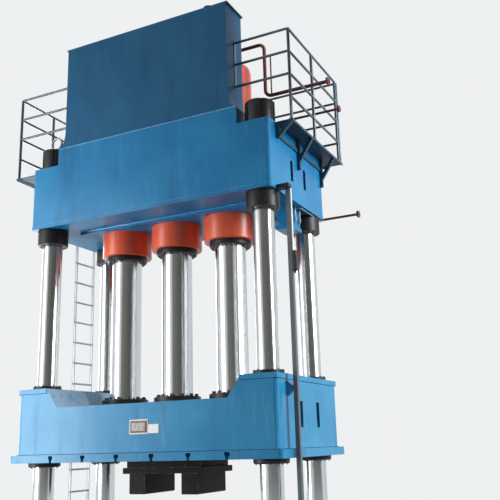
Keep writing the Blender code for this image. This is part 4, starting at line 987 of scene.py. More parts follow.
@dataclass
class Cylinders:
    """The three cylinders, their glands and their rams.

    The skirt is how far above the foot of its solid a cylinder ends, with its gland under it.
    """

    edge: float = 0.012
    ram_edge: float = 0.004
    flange_edge: float = 0.006
    bolt: float = 0.046
    gland_bolt: float = 0.022
    flange_bolts: int = 20
    gland_bolts: int = 16
    foot_bolts: int = 12
    bolt_circle_share: float = 0.52
    skirt: float = 0.05
    gland_radius: float = 0.268
    gland_height: float = 0.065
    wiper: float = 0.01
    flange_reach: float = 0.055
    flange_height: float = 0.08
    above: float = 1.0
    lid: float = 0.12
    port_radius: float = 0.09
    port_height: float = 0.05
    shoulder: float = 0.08
    shoulder_share: float = 0.2
    piston_radius: float = 0.26
    piston_height: float = 0.18
    ram_radius: float = 0.2
    foot_radius: float = 0.235
    foot_height: float = 0.04
    spigot: float = 0.085

    def build(self) -> None:
        """Build each cylinder with what slides in it."""
        for name in CYLINDERS:
            self.build_cylinder(name)
            self.build_gland(name)
            self.build_ram(name)

    def build_cylinder(self, name: str) -> None:
        """A cylinder with its flange, its bolts, its round shoulder and its oil port.

        Args:
            name: The cylinder's place.
        """
        centre, wide, low, high = round_box("cylinder_" + name)
        radius = wide - self.flange_reach
        top = high - self.port_height
        seat = top - self.above + FIT
        flange_top = seat + self.flange_height
        foot = low + self.skirt
        bore = self.piston_radius + FIT
        bulge = self.shoulder * self.shoulder_share
        outer = softened([(self.port_radius, high), (self.port_radius, top), (radius - self.shoulder, top),
                          (radius - bulge, top - bulge), (radius, top - self.shoulder), (radius, flange_top),
                          (wide, flange_top), (wide, seat), (radius, seat), (radius, foot), (bore, foot),
                          (bore, top - self.lid)], self.edge, False)
        circle = radius + self.flange_reach * self.bolt_circle_share
        bolts = bolt_circle(self.bolt, centre, circle, flange_top, self.flange_bolts)
        place("press_cylinder_" + name, joined([turned(outer, centre), bolts]), CYLINDER_ORANGE, Body.FRAME,
              ("cylinder_" + name,))

    def build_gland(self, name: str) -> None:
        """The ring that closes a cylinder below, with its bolts and a wiper lip.

        Args:
            name: The cylinder's place.
        """
        centre, _, _, high = round_box("gland_" + name)
        face = high - self.spigot + self.skirt
        foot = face - self.gland_height
        bore = self.ram_radius + FIT
        spigot = self.piston_radius - FIT
        rim, lip = self.gland_radius, bore + self.wiper
        profile = softened([(bore, high), (spigot, high), (spigot, face), (rim, face),
                            (rim, foot + self.wiper), (rim - self.wiper, foot), (lip, foot),
                            (lip, foot + self.wiper / 2), (bore, foot + self.wiper / 2)], EDGE, True)
        bolts = bolt_circle(self.gland_bolt, centre, (rim + bore) / 2, foot, self.gland_bolts, DOWN)
        place("bolted_gland_" + name, joined([turned(profile, centre, closed=True), bolts]), BLACKED,
              Body.FRAME, ("gland_" + name,))

    def build_ram(self, name: str) -> None:
        """A ram with its piston and foot, and the bolted flange that holds it to the slide.

        Args:
            name: The ram's place.
        """
        centre, _, low, high = round_box("ram_" + name)
        neck = high - self.piston_height
        foot = low + self.foot_height
        profile = softened([(self.piston_radius, high), (self.piston_radius, neck), (self.ram_radius, neck),
                            (self.ram_radius, foot), (self.foot_radius, foot), (self.foot_radius, low)],
                           self.ram_edge, False)
        place("chromed_ram_" + name, turned(profile, centre), CHROME, Body.SLIDE, ("ram_" + name,))
        _, wide, _, top = round_box("ram_flange_" + name)
        bore, recess = self.ram_radius + FIT, self.foot_radius + FIT
        flange = softened([(bore, top), (wide, top), (wide, low), (recess, low), (recess, foot + FIT),
                           (bore, foot + FIT)], self.flange_edge, True)
        bolts = bolt_circle(self.bolt, centre, (wide + bore) / 2, top, self.foot_bolts)
        place("bolted_foot_flange_" + name, joined([turned(flange, centre, closed=True), bolts]), BLACKED,
              Body.SLIDE, ("ram_flange_" + name,))


@dataclass
class Slide:
    """The moving beam with its guides, its plates and the die under it.

    The plate and the label are given by their left, right, lower and upper edges on the front.
    """

    flange: float = 0.095
    flange_reach: float = 0.064
    cap: float = 0.06
    shoulder_reach: float = 0.26
    weld: float = 0.005
    plate: tuple[float, float, float, float] = (-0.098, 0.16, 1.803, 1.968)
    label: tuple[float, float, float, float] = (0.164, 0.306, 1.808, 1.91)
    plate_thickness: float = 0.005
    bezel_inset: float = 0.014
    face_inset: float = 0.036
    bush_flange: float = 0.045
    bush_wall: float = 0.03
    bush_reach: float = 0.05
    bush_edge: float = 0.005
    bush_screw_inset: float = 0.018
    wiper_chamfer: float = 0.01
    wiper_screw_inset: float = 0.03
    screw: float = 0.016
    screws: int = 8

    def build(self) -> None:
        """Dress the slide and build what is fixed to it."""
        dress("slide", SLIDE_BLUE)
        dress("upper_die", DIE_STEEL)
        dress("striker", STRIKER_PAINT)
        self.build_painted_shadow_seams()
        self.build_plates()
        for name in COLUMNS:
            self.build_guide(name)

    def build_painted_shadow_seams(self) -> None:
        """Beads where the body stands on its foot flange, and under the cap plates of its raised ends, drawn
        dark as painted shadow.
        """
        low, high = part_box("slide")
        body_x = high.x - self.flange_reach
        body_y = high.y - self.flange_reach
        top = low.z + self.flange
        under = high.z - self.cap
        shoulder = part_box("ram_flange_right")[1].x + self.shoulder_reach
        runs = []
        for side in (-1, 1):
            wall = side * body_y
            runs.append([(self.weld - body_x, wall, top), (body_x - self.weld, wall, top)])
            runs += [[(end * shoulder, wall, under), (end * body_x, wall, under)] for end in (-1, 1)]
            end_x = side * body_x
            runs += [[(end_x, -body_y, level), (end_x, body_y, level)] for level in (top, under)]
        place("slide_welds_painted_shadow", joined([bead(run, self.weld) for run in runs]), PAINTED_SHADOW_SEAM, Body.SLIDE)

    def build_plates(self) -> None:
        """The plate in its bezel and the small label beside it, both bare, on the front."""
        face = self.flange_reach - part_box("slide")[1].y
        stand = facing(np.array([(0.0, face, 0.0)]), FRONT)[0]
        depth = self.plate_thickness
        for name, (left, right, base, top), inset, layer, finish in (
                ("plate_frame", self.plate, 0.0, 1, PLATE_WHITE),
                ("plate_bezel", self.plate, self.bezel_inset, 2, PLATE_BROWN),
                ("plate_face", self.plate, self.face_inset, 3, PLATE_PALE),
                ("label_plate", self.label, 0.0, 1, PLATE_WHITE)):
            sheet = slab((left + inset, base + inset, 0.0), (right - inset, top - inset, depth * layer),
                         depth, depth / 6)
            place(name, sheet.placed(stand), finish, Body.SLIDE)

    def build_guide(self, name: str) -> None:
        """A guide bush over the slide and a wiper ring under it, both bolted.

        Args:
            name: The column's place.
        """
        centre, radius, low, top = round_box("guide_bush_" + name)
        bore = radius - self.bush_reach
        sleeve = bore + self.bush_wall
        seat = top - self.bush_flange
        profile = softened([(bore, top), (radius, top), (radius, seat), (sleeve, seat), (sleeve, low),
                            (bore, low)], self.bush_edge, True)
        bolts = bolt_circle(self.screw, centre, radius - self.bush_screw_inset, top, self.screws)
        place("flanged_bush_" + name, joined([turned(profile, centre, closed=True), bolts]), BLACKED,
              Body.SLIDE, ("guide_bush_" + name,))
        _, wide, foot, head = round_box("wiper_ring_" + name)
        chamfer = self.wiper_chamfer
        lip = softened([(bore, head), (wide, head), (wide, foot + chamfer), (wide - chamfer, foot),
                        (bore, foot)], EDGE, True)
        circle = wide - self.wiper_screw_inset
        screws = bolt_circle(self.screw, centre, circle, foot, self.screws, DOWN)
        place("bolted_wiper_" + name, joined([turned(lip, centre, closed=True), screws]), BLACKED,
              Body.SLIDE, ("wiper_ring_" + name,))


@dataclass
class OilTank:
    """The tank on the crown's front edge with its lid."""

    bolt: float = 0.02
    bolts_along: int = 18
    lid: float = 0.02
    end_inset: float = 0.04
    side_inset: float = 0.03

    def build(self) -> None:
        """Dress the tank and bolt its lid down."""
        dress("oil_tank", TANK_BLUE)
        dress("tank_lid", TANK_BLUE)
        low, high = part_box("tank_lid")
        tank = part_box("oil_tank")[1]
        level = tank.z + self.lid + FIT
        x = np.linspace(low.x + self.end_inset, high.x - self.end_inset, self.bolts_along)
        rows = [np.stack([x, np.full(len(x), y), np.full(len(x), level)], axis=-1)
                for y in (low.y + self.side_inset, high.y - self.side_inset)]
        bolts = hex_bolt(self.bolt).repeated(facing(np.concatenate(rows), UP))
        place("tank_lid_bolts", bolts, BLACKED, Body.FRAME)


@dataclass
class Walkway:
    """The decks, their treads and the rails round them.

    A knob's shares are the radii and heights of its outline, and the right panel's is its middle
    post's place along it.
    """

    post: float = 0.019
    rail: float = 0.0165
    pitch: float = 0.305
    rails: int = 4
    inset: float = 0.026
    bar: float = 0.008
    bar_width: float = 0.06
    bar_corner: float = 0.004
    tread: tuple[float, float] = (0.03, 0.007)
    tread_height: float = 0.0022
    tread_blunt: float = 1.05
    tread_grid: tuple[int, int] = (5, 3)
    tread_pitch: float = 0.036
    side_posts: int = 3
    rear_posts: int = 5
    right_middle_share: float = 0.46
    knob_shares: tuple[tuple[float, float], ...] = ((0.7, 1.1), (1.25, 0.5), (1.25, -0.5), (0.7, -1.1))

    def build(self) -> None:
        """Dress the decks, and build treads and rails."""
        for name in ("deck_left", "deck_right", "deck_rear"):
            dress(name, DECK_SLATE_PAINTED_SHADE)
            self.build_treads(name)
        for name, posts in (("handrail_left", self.side_posts), ("handrail_right", self.side_posts),
                            ("handrail_rear", self.rear_posts)):
            self.build_fence(name, posts)
        for name in ("handrail_front_left", "handrail_front_right"):
            self.build_wall_fence(name)

    def build_treads(self, name: str) -> None:
        """Raised tears on a deck plate, slanted left and right by turns.

        Each tear is a low lens: height h (1 - u^2)(1 - v^2) over its length u and width v, and its
        width narrows to blunt ends as sqrt(b - u^2).

        Args:
            name: The deck.
        """
        low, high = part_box(name)
        u, v = np.meshgrid(*(np.linspace(-1, 1, count) for count in self.tread_grid), indexing="ij")
        length, width = self.tread
        height = self.tread_height * (1 - u ** 2) * (1 - v ** 2)
        lens = np.stack([u * length / 2, v * width / 2 * np.sqrt(self.tread_blunt - u ** 2), height], axis=-1)
        tear = Surface(lens.reshape(-1, 3), [grid_faces(*self.tread_grid, False, False)])
        x = np.arange(low.x + self.tread_pitch, high.x - self.tread_pitch / 2, self.tread_pitch)
        y = np.arange(low.y + self.tread_pitch, high.y - self.tread_pitch / 2, self.tread_pitch)
        column, row = np.meshgrid(np.arange(len(x)), np.arange(len(y)), indexing="ij")
        turn = np.where((column + row) % 2 == 0, 1, -1).ravel() * math.pi / 4
        places = np.zeros((turn.size, 4, 4))
        places[:, 0, 0] = places[:, 1, 1] = np.cos(turn)
        places[:, 1, 0] = np.sin(turn)
        places[:, 0, 1] = -np.sin(turn)
        places[:, 2, 2] = places[:, 3, 3] = 1.0
        places[:, 0, 3] = x[column].ravel()
        places[:, 1, 3] = y[row].ravel()
        places[:, 2, 3] = high.z
        place(name + "_treads", tear.repeated(places), DECK_SLATE_PAINTED_SHADE, Body.FRAME)

    def build_fence(self, name: str, posts: int) -> None:
        """Rails over posts, with a foot plate under each post.

        Args:
            name: The panel.
            posts: How many posts it stands on.
        """
        low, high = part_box(name)
        along = 0 if high.x - low.x > high.y - low.y else 1
        line = (low + high) / 2
        start, end = np.array(line), np.array(line)
        start[along], end[along] = low[along] + self.post, high[along] - self.post
        shares = np.linspace(0.0, 1.0, posts)
        if name == "handrail_right":
            shares[1] = self.right_middle_share
        feet = start + (end - start) * shares[:, None]
        feet[:, 2] = low.z
        parts = []
        for foot in feet:
            head = (*foot[:2], high.z - self.rail)
            parts.append(swept(np.array([foot, (*foot[:2], (low.z + high.z) / 2), head]), self.post))
            parts.append(slab((foot[0] - self.inset, foot[1] - self.inset, low.z),
                              (foot[0] + self.inset, foot[1] + self.inset, low.z + self.bar),
                              self.bar_corner, FINE_EDGE))
        top = high.z - self.rail
        for index in range(self.rails):
            level = top - self.pitch * index
            ends = np.stack([start, (start + end) / 2, end])
            ends[:, 2] = level
            parts.append(swept(ends, self.rail))
        knob = softened([(self.rail * out, self.rail * rise) for out, rise in self.knob_shares],
                        self.rail / 2, False)
        joints = [(*foot[:2], top - self.pitch * index) for foot in feet for index in range(1, self.rails)]
        parts.append(turned(knob, Vector(), SMALL_SIDES).repeated(facing(np.array(joints), UP)))
        place(name + "_tubes", joined(parts), RAIL_SLATE, Body.FRAME, (name,))

    def build_wall_fence(self, name: str) -> None:
        """Three short rails from a flat bar on the tank.

        Args:
            name: The panel.
        """
        low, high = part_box(name)
        side = 1 if low.x > 0 else -1
        wall, far = (low.x, high.x) if side > 0 else (high.x, low.x)
        middle = (low.y + high.y) / 2
        face = wall + side * self.bar
        parts = [slab((min(wall, face), low.y, low.z), (max(wall, face), high.y, high.z), EDGE, FINE_EDGE)]
        for index in range(self.rails - 1):
            level = high.z - self.bar_width / 2 - self.pitch * index
            line = [(x, middle, level) for x in (wall + side * self.bar / 2, (wall + far) / 2, far)]
            parts.append(swept(np.array(line), self.rail))
        place(name + "_tubes", joined(parts), RAIL_SLATE, Body.FRAME, (name,))


@dataclass
class Ladder:
    """The ladder up to the walkway: two flat stiles and round rungs."""

    stile: float = 0.014
    width: float = 0.045
    rung: float = 0.0135
    pitch: float = 0.31
    foot_length: float = 0.1
    foot: float = 0.01

    def build(self) -> None:
        """Build the ladder over its solid, which reaches over its front foot and its rear foot."""
        low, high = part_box("ladder")
        top_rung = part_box("deck_left")[1].z - self.rung
        centre = (low.x + high.x) / 2
        outer, inner = centre - self.width / 2, centre + self.width / 2
        left, right = centre - self.foot_length / 2, centre + self.foot_length / 2
        parts = []
        for start in (low.y + self.stile, high.y - self.stile * 2):
            front, back = max(low.y, start - self.stile), min(high.y, start + self.stile * 2)
            parts.append(slab((outer, start, 0.0), (inner, start + self.stile, high.z), EDGE, FINE_EDGE))
            parts.append(slab((left, front, 0.0), (right, back, self.foot), EDGE, FINE_EDGE))
        levels = np.arange(top_rung, self.pitch / 2, -self.pitch)
        rung = swept(np.array([(centre, low.y + self.stile, 0.0), (centre, (low.y + high.y) / 2, 0.0),
                               (centre, high.y - self.stile, 0.0)]), self.rung, SMALL_SIDES)
        lifts = np.tile(np.eye(4), (len(levels), 1, 1))
        lifts[:, 2, 3] = levels
        parts.append(rung.repeated(lifts))
        place("ladder_bars", joined(parts), LADDER_GREY, Body.FRAME, ("ladder",))


@dataclass
class Pipework:
    """The oil lines over the crown and out to the right.

    A port's collar rises by shares of its flange's height, and it and the stem have shares of the
    main line's radius.
    """

    main: float = 0.024
    small: float = 0.0165
    conduit: float = 0.01
    bend: float = 0.09
    flange_reach: float = 0.03
    flange: float = 0.025
    port: float = 0.09
    drop_x: float = 1.39
    conduit_y: float = -0.05
    pilot_bend: float = 0.0175
    drain_bend_share: float = 0.6
    port_height: float = 0.05
    port_screw: float = 0.02
    port_screw_inset: float = 0.022
    port_screws: int = 6
    stem_share: float = 0.9
    collar_share: float = 1.35
    collar_rises: tuple[float, ...] = (1.0, 1.6, 2.2)
    screw: float = 0.016
    screw_inset: float = 0.012
    screws: int = 4
    flange_edge: float = 0.002

    def end_flange(self, tip: Vector, radius: float) -> Surface:
        """A round flange with four bolts on a pipe that ends to the right.

        Args:
            tip: The middle of the pipe's end face.
            radius: The pipe's radius.

        Returns:
            The flange and its bolts.
        """
        reach = radius + self.flange_reach
        disc = softened([(reach, 0.0), (reach, -self.flange)], self.flange_edge, False)
        circle = reach - self.screw_inset
        screws = bolt_circle(self.screw, Vector(), circle, -self.flange, self.screws, DOWN)
        parts = joined([turned(disc, Vector(), SMALL_SIDES * 2), screws])
        return parts.placed(facing(np.array([tip]), RIGHT)[0])

    def build(self) -> None:
        """Build the four lines."""
        self.build_manifold()
        self.build_pilot()
        self.build_return()
        self.build_drain()

    def build_manifold(self) -> None:
        """The main line over the cylinders, with a foot on each port."""
        low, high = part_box("oil_manifold")
        ports = [round_box("cylinder_" + name) for name in CYLINDERS]
        level = high.z - self.main
        port_top = ports[0][3] + FIT
        leave = low.z + self.main + self.flange_reach
        tip = Vector((high.x, 0.0, leave))
        route = [(ports[0][0].x, 0.0, port_top), (ports[0][0].x, 0.0, level), (self.drop_x, 0.0, level),
                 (self.drop_x, 0.0, leave), tuple(tip)]
        parts = [swept(bent(route, self.bend), self.main, SMALL_SIDES), self.end_flange(tip, self.main)]
        seat = port_top + self.flange
        circle = self.port - self.port_screw_inset
        foot = softened([(self.port - FIT, seat), (self.port - FIT, port_top)], EDGE, False)
        for centre, *_ in ports:
            parts.append(turned(foot, centre, SMALL_SIDES * 2))
            parts.append(bolt_circle(self.port_screw, centre, circle, seat, self.port_screws))
            if centre.x > ports[0][0].x + self.port:
                stem = np.array([(centre.x, 0.0, height) for height in np.linspace(port_top, level, 3)])
                parts.append(swept(stem, self.main * self.stem_share))
            collar = np.array([(centre.x, 0.0, port_top + self.flange * rise) for rise in self.collar_rises])
            parts.append(swept(collar, self.main * self.collar_share, COLLAR_SIDES))
        place("manifold_pipe", joined(parts), PIPE_RED, Body.FRAME, ("oil_manifold",))

    def build_pilot(self) -> None:
        """The thin line beside the manifold."""
        low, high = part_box("pilot_line")
        level = high.z - self.conduit
        start = round_box("cylinder_right")[3] - self.port_height + FIT
        left, right = low.x + self.conduit, high.x - self.conduit
        route = [(left, self.conduit_y, start), (left, self.conduit_y, level), (right, self.conduit_y, level),
                 (right, self.conduit_y, low.z)]
        place("pilot_tube", swept(bent(route, self.pilot_bend), self.conduit), PIPE_RED, Body.FRAME,
              ("pilot_line",))

    def build_return(self) -> None:
        """The line that rises from the deck and leaves to the right."""
        low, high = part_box("return_line")
        middle = (low.y + high.y) / 2
        level = high.z - self.small - self.flange_reach
        x = low.x + self.small + self.flange_reach
        tip = Vector((high.x, middle, level))
        route = [(x, middle, low.z), (x, middle, level), tuple(tip)]
        reach = self.small + self.flange_reach
        foot = softened([(reach, low.z + self.flange), (reach, low.z)], self.flange_edge, False)
        axis = Vector((x, middle, 0.0))
        screws = bolt_circle(self.screw, axis, reach - self.screw_inset, low.z + self.flange, self.screws)
        tube = joined([swept(bent(route, self.bend), self.small), self.end_flange(tip, self.small),
                       turned(foot, axis, SMALL_SIDES * 2), screws])
        place("return_tube", tube, PIPE_RED, Body.FRAME, ("return_line",))

    def build_drain(self) -> None:
        """The line from the crown's back to the right."""
        low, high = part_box("drain_line")
        level = (low.z + high.z) / 2
        reach = self.small + self.flange_reach
        middle = high.y - reach
        x = low.x + self.small + self.flange_reach / 2
        tip = Vector((high.x, middle, level))
        route = [(x, low.y, level), (x, middle, level), tuple(tip)]
        collar = np.array([(x, low.y + depth, level) for depth in np.linspace(0.0, self.flange / 2, 3)])
        line = bent(route, (middle - low.y) * self.drain_bend_share)
        ring = swept(collar, self.small + self.flange_reach / 2, SMALL_SIDES)
        tube = joined([swept(line, self.small), ring, self.end_flange(tip, self.small)])
        place("drain_tube", tube, PIPE_RED, Body.FRAME, ("drain_line",))


@dataclass
class StrokeSwitches:
    """The stroke rail with its limit switch, and the junction box under the crown."""

    screw: float = 0.011
    screw_inset: float = 0.014
    head: float = 0.07
    gland: float = 0.014
    gland_height: float = 0.03
    lid: float = 0.008
    lid_inset: float = 0.022
    conduit: float = 0.009
    conduit_shares: tuple[float, float] = (0.32, 0.78)
    conduit_foot: float = 0.1
    conduit_bend: float = 0.02
    rail: float = 0.05
    lip: float = 0.012
    arm: float = 0.05
    foot_arm: float = 0.08
    highlight_strip: float = 0.014
    body_corner: float = 0.006
    head_corner: float = 0.005
    arm_corner: float = 0.004
    arm_edge: float = 0.002
    collar_share: float = 1.5
    collar_steps: tuple[int, ...] = (1, 2, 3)

    def build(self) -> None:
        """Build the rail, dress the junction box, and build what is fixed to them."""
        dress("switch_junction_box", CROWN_BLUE)
        self.build_rail()
        self.build_switch()
        self.build_lid()
        self.build_conduits()

    def build_rail(self) -> None:
        """The rail, a channel open to the back, the arms that hold it, and a white strip down its side as
        painted highlight.
        """
        low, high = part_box("stroke_rail")
        lip, back = self.lip, high.y
        outer = high.x - lip
        inner, front = outer - self.rail, back - self.rail
        arm_foot = high.z - self.arm
        outline = np.array([(inner, front), (outer, front), (outer, back), (outer - lip, back),
                            (outer - lip, front + lip), (inner + lip, front + lip), (inner + lip, back),
                            (inner, back)])
        columns = np.arange(len(outline))
        levels = np.repeat((arm_foot + self.arm / 2, low.z), len(outline))[:, None]
        channel = Surface(np.concatenate([np.tile(outline, (2, 1)), levels], axis=1),
                          [grid_faces(2, len(outline), False, True), columns[None],
                           (len(outline) + columns)[::-1][None]])
        foot_arm = slab((low.x, front, low.z), (inner + lip / 2, front + lip, low.z + self.foot_arm),
                        EDGE, FINE_EDGE)
        place("stroke_channel", joined([channel, foot_arm]), RAIL_STEEL, Body.FRAME, ("stroke_rail",))
        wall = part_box("crown")[1].x + FIT
        arm = slab((wall, low.y, arm_foot), tuple(high), self.arm_corner, self.arm_edge)
        place("stroke_arm", arm, BLACKED, Body.FRAME)
        # A white strip on the channel's right face: painted highlight where the light falls on it
        middle = (front + back) / 2
        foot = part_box("limit_switch")[1].z
        highlight_strip = slab((outer, middle - self.highlight_strip, foot), (outer + self.highlight_strip, middle + self.highlight_strip, arm_foot),
                    EDGE, FINE_EDGE)
        place("painted_highlight_strip", highlight_strip, PLATE_WHITE, Body.FRAME)

    def corners(self, low: tuple[float, float], high: tuple[float, float]) -> np.ndarray:
        """Places for four screws, drawn in from a cover's corners.

        Args:
            low: The cover's lowest corner, in its own plane.
            high: Its highest corner.

        Returns:
            Four points in the cover's plane.
        """
        inset = self.screw_inset
        return np.array([(u, v) for u in (low[0] + inset, high[0] - inset)
                         for v in (low[1] + inset, high[1] - inset)])

    def build_switch(self) -> None:
        """The switch: its body with a screwed cover, its narrower head and a cable gland below."""
        low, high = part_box("limit_switch")
        neck = high.z - self.head
        foot = low.z + self.gland_height
        step = self.gland / 2
        centre = (low + high) / 2
        body = slab((low.x, low.y + step, foot), (high.x, high.y, neck), self.body_corner, self.arm_edge)
        head = slab((low.x + step, low.y + step, neck), (high.x - step, high.y - step, high.z),
                    self.head_corner, EDGE)
        nose = softened([(self.gland, foot), (self.gland, low.z)], EDGE, False)
        flat = self.corners((low.x, foot), (high.x, neck))
        spots = np.stack([flat[:, 0], np.full(len(flat), low.y + step), flat[:, 1]], axis=-1)
        screws = hex_bolt(self.screw).repeated(facing(spots, FRONT))
        place("switch_housing", joined([body, head, turned(nose, centre, SMALL_SIDES), screws]), SWITCH_BLACK,
              Body.FRAME, ("limit_switch",))

    def build_lid(self) -> None:
        """The junction box's lid, screwed to its front."""
        low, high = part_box("switch_junction_box")
        inset = self.lid_inset
        stand = facing(np.array([(0.0, low.y + self.lid, 0.0)]), FRONT)[0]
        left, right = low.x + inset, high.x - inset
        base, top = low.z + inset * 3, high.z - inset
        sheet = slab((left, base, -self.lid), (right, top, self.lid), self.lid, self.lid / 5)
        flat = self.corners((left, base), (right, top))
        spots = np.concatenate([flat, np.full((len(flat), 1), self.lid)], axis=1)
        screws = hex_bolt(self.screw).repeated(facing(spots, UP))
        place("junction_lid", joined([sheet, screws]).placed(stand), CROWN_BLUE, Body.FRAME)

    def build_conduits(self) -> None:
        """Two short conduits down the junction box's side and into it, and one back along the crown."""
        low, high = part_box("switch_junction_box")
        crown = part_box("crown")[1]
        line = high.x + self.conduit
        wall = high.x - self.conduit_bend
        entry = low.z + self.conduit_foot
        level = high.z - self.conduit
        start, end = (low.y + high.y) / 2, crown.y - self.conduit_bend
        outer = crown.x - self.conduit_bend * 2
        run = [(wall, start, level), (outer, start, level), (outer, end, level)]
        parts = [swept(bent(run, self.conduit_bend), self.conduit)]
        for share in self.conduit_shares:
            y = low.y + (high.y - low.y) * share
            route = [(line, y, high.z), (line, y, entry), (wall, y, entry)]
            parts.append(swept(bent(route, self.conduit_bend), self.conduit))
            collar = [(line, y, entry + self.conduit_bend * step) for step in self.collar_steps]
            parts.append(swept(np.array(collar), self.conduit * self.collar_share, COLLAR_SIDES))
        place("junction_conduits", joined(parts), LADDER_GREY, Body.FRAME)


# Stage

@dataclass
class Lamp:
    """A soft panel of light, by where it stands, what it faces, its size and its power.

    A lamp that isn't mirrored doesn't show in shiny metal.
    """

    name: str
    at: tuple[float, float, float]
    aim: tuple[float, float, float]
    size: tuple[float, float]
    power: float
    mirrored: bool = True

    def hang(self) -> None:
        """Put the lamp into the scene."""
        data = bpy.data.lights.new(self.name, "AREA")
        data.shape = "RECTANGLE"
        data.size, data.size_y = self.size
        data.energy = self.power
        lamp = bpy.data.objects.new(self.name, data)
        lamp.location = self.at
        lamp.rotation_euler = (Vector(self.aim) - Vector(self.at)).to_track_quat("-Z", "Y").to_euler()
        lamp.visible_camera = False
        lamp.visible_glossy = self.mirrored
        bpy.context.scene.collection.objects.link(lamp)


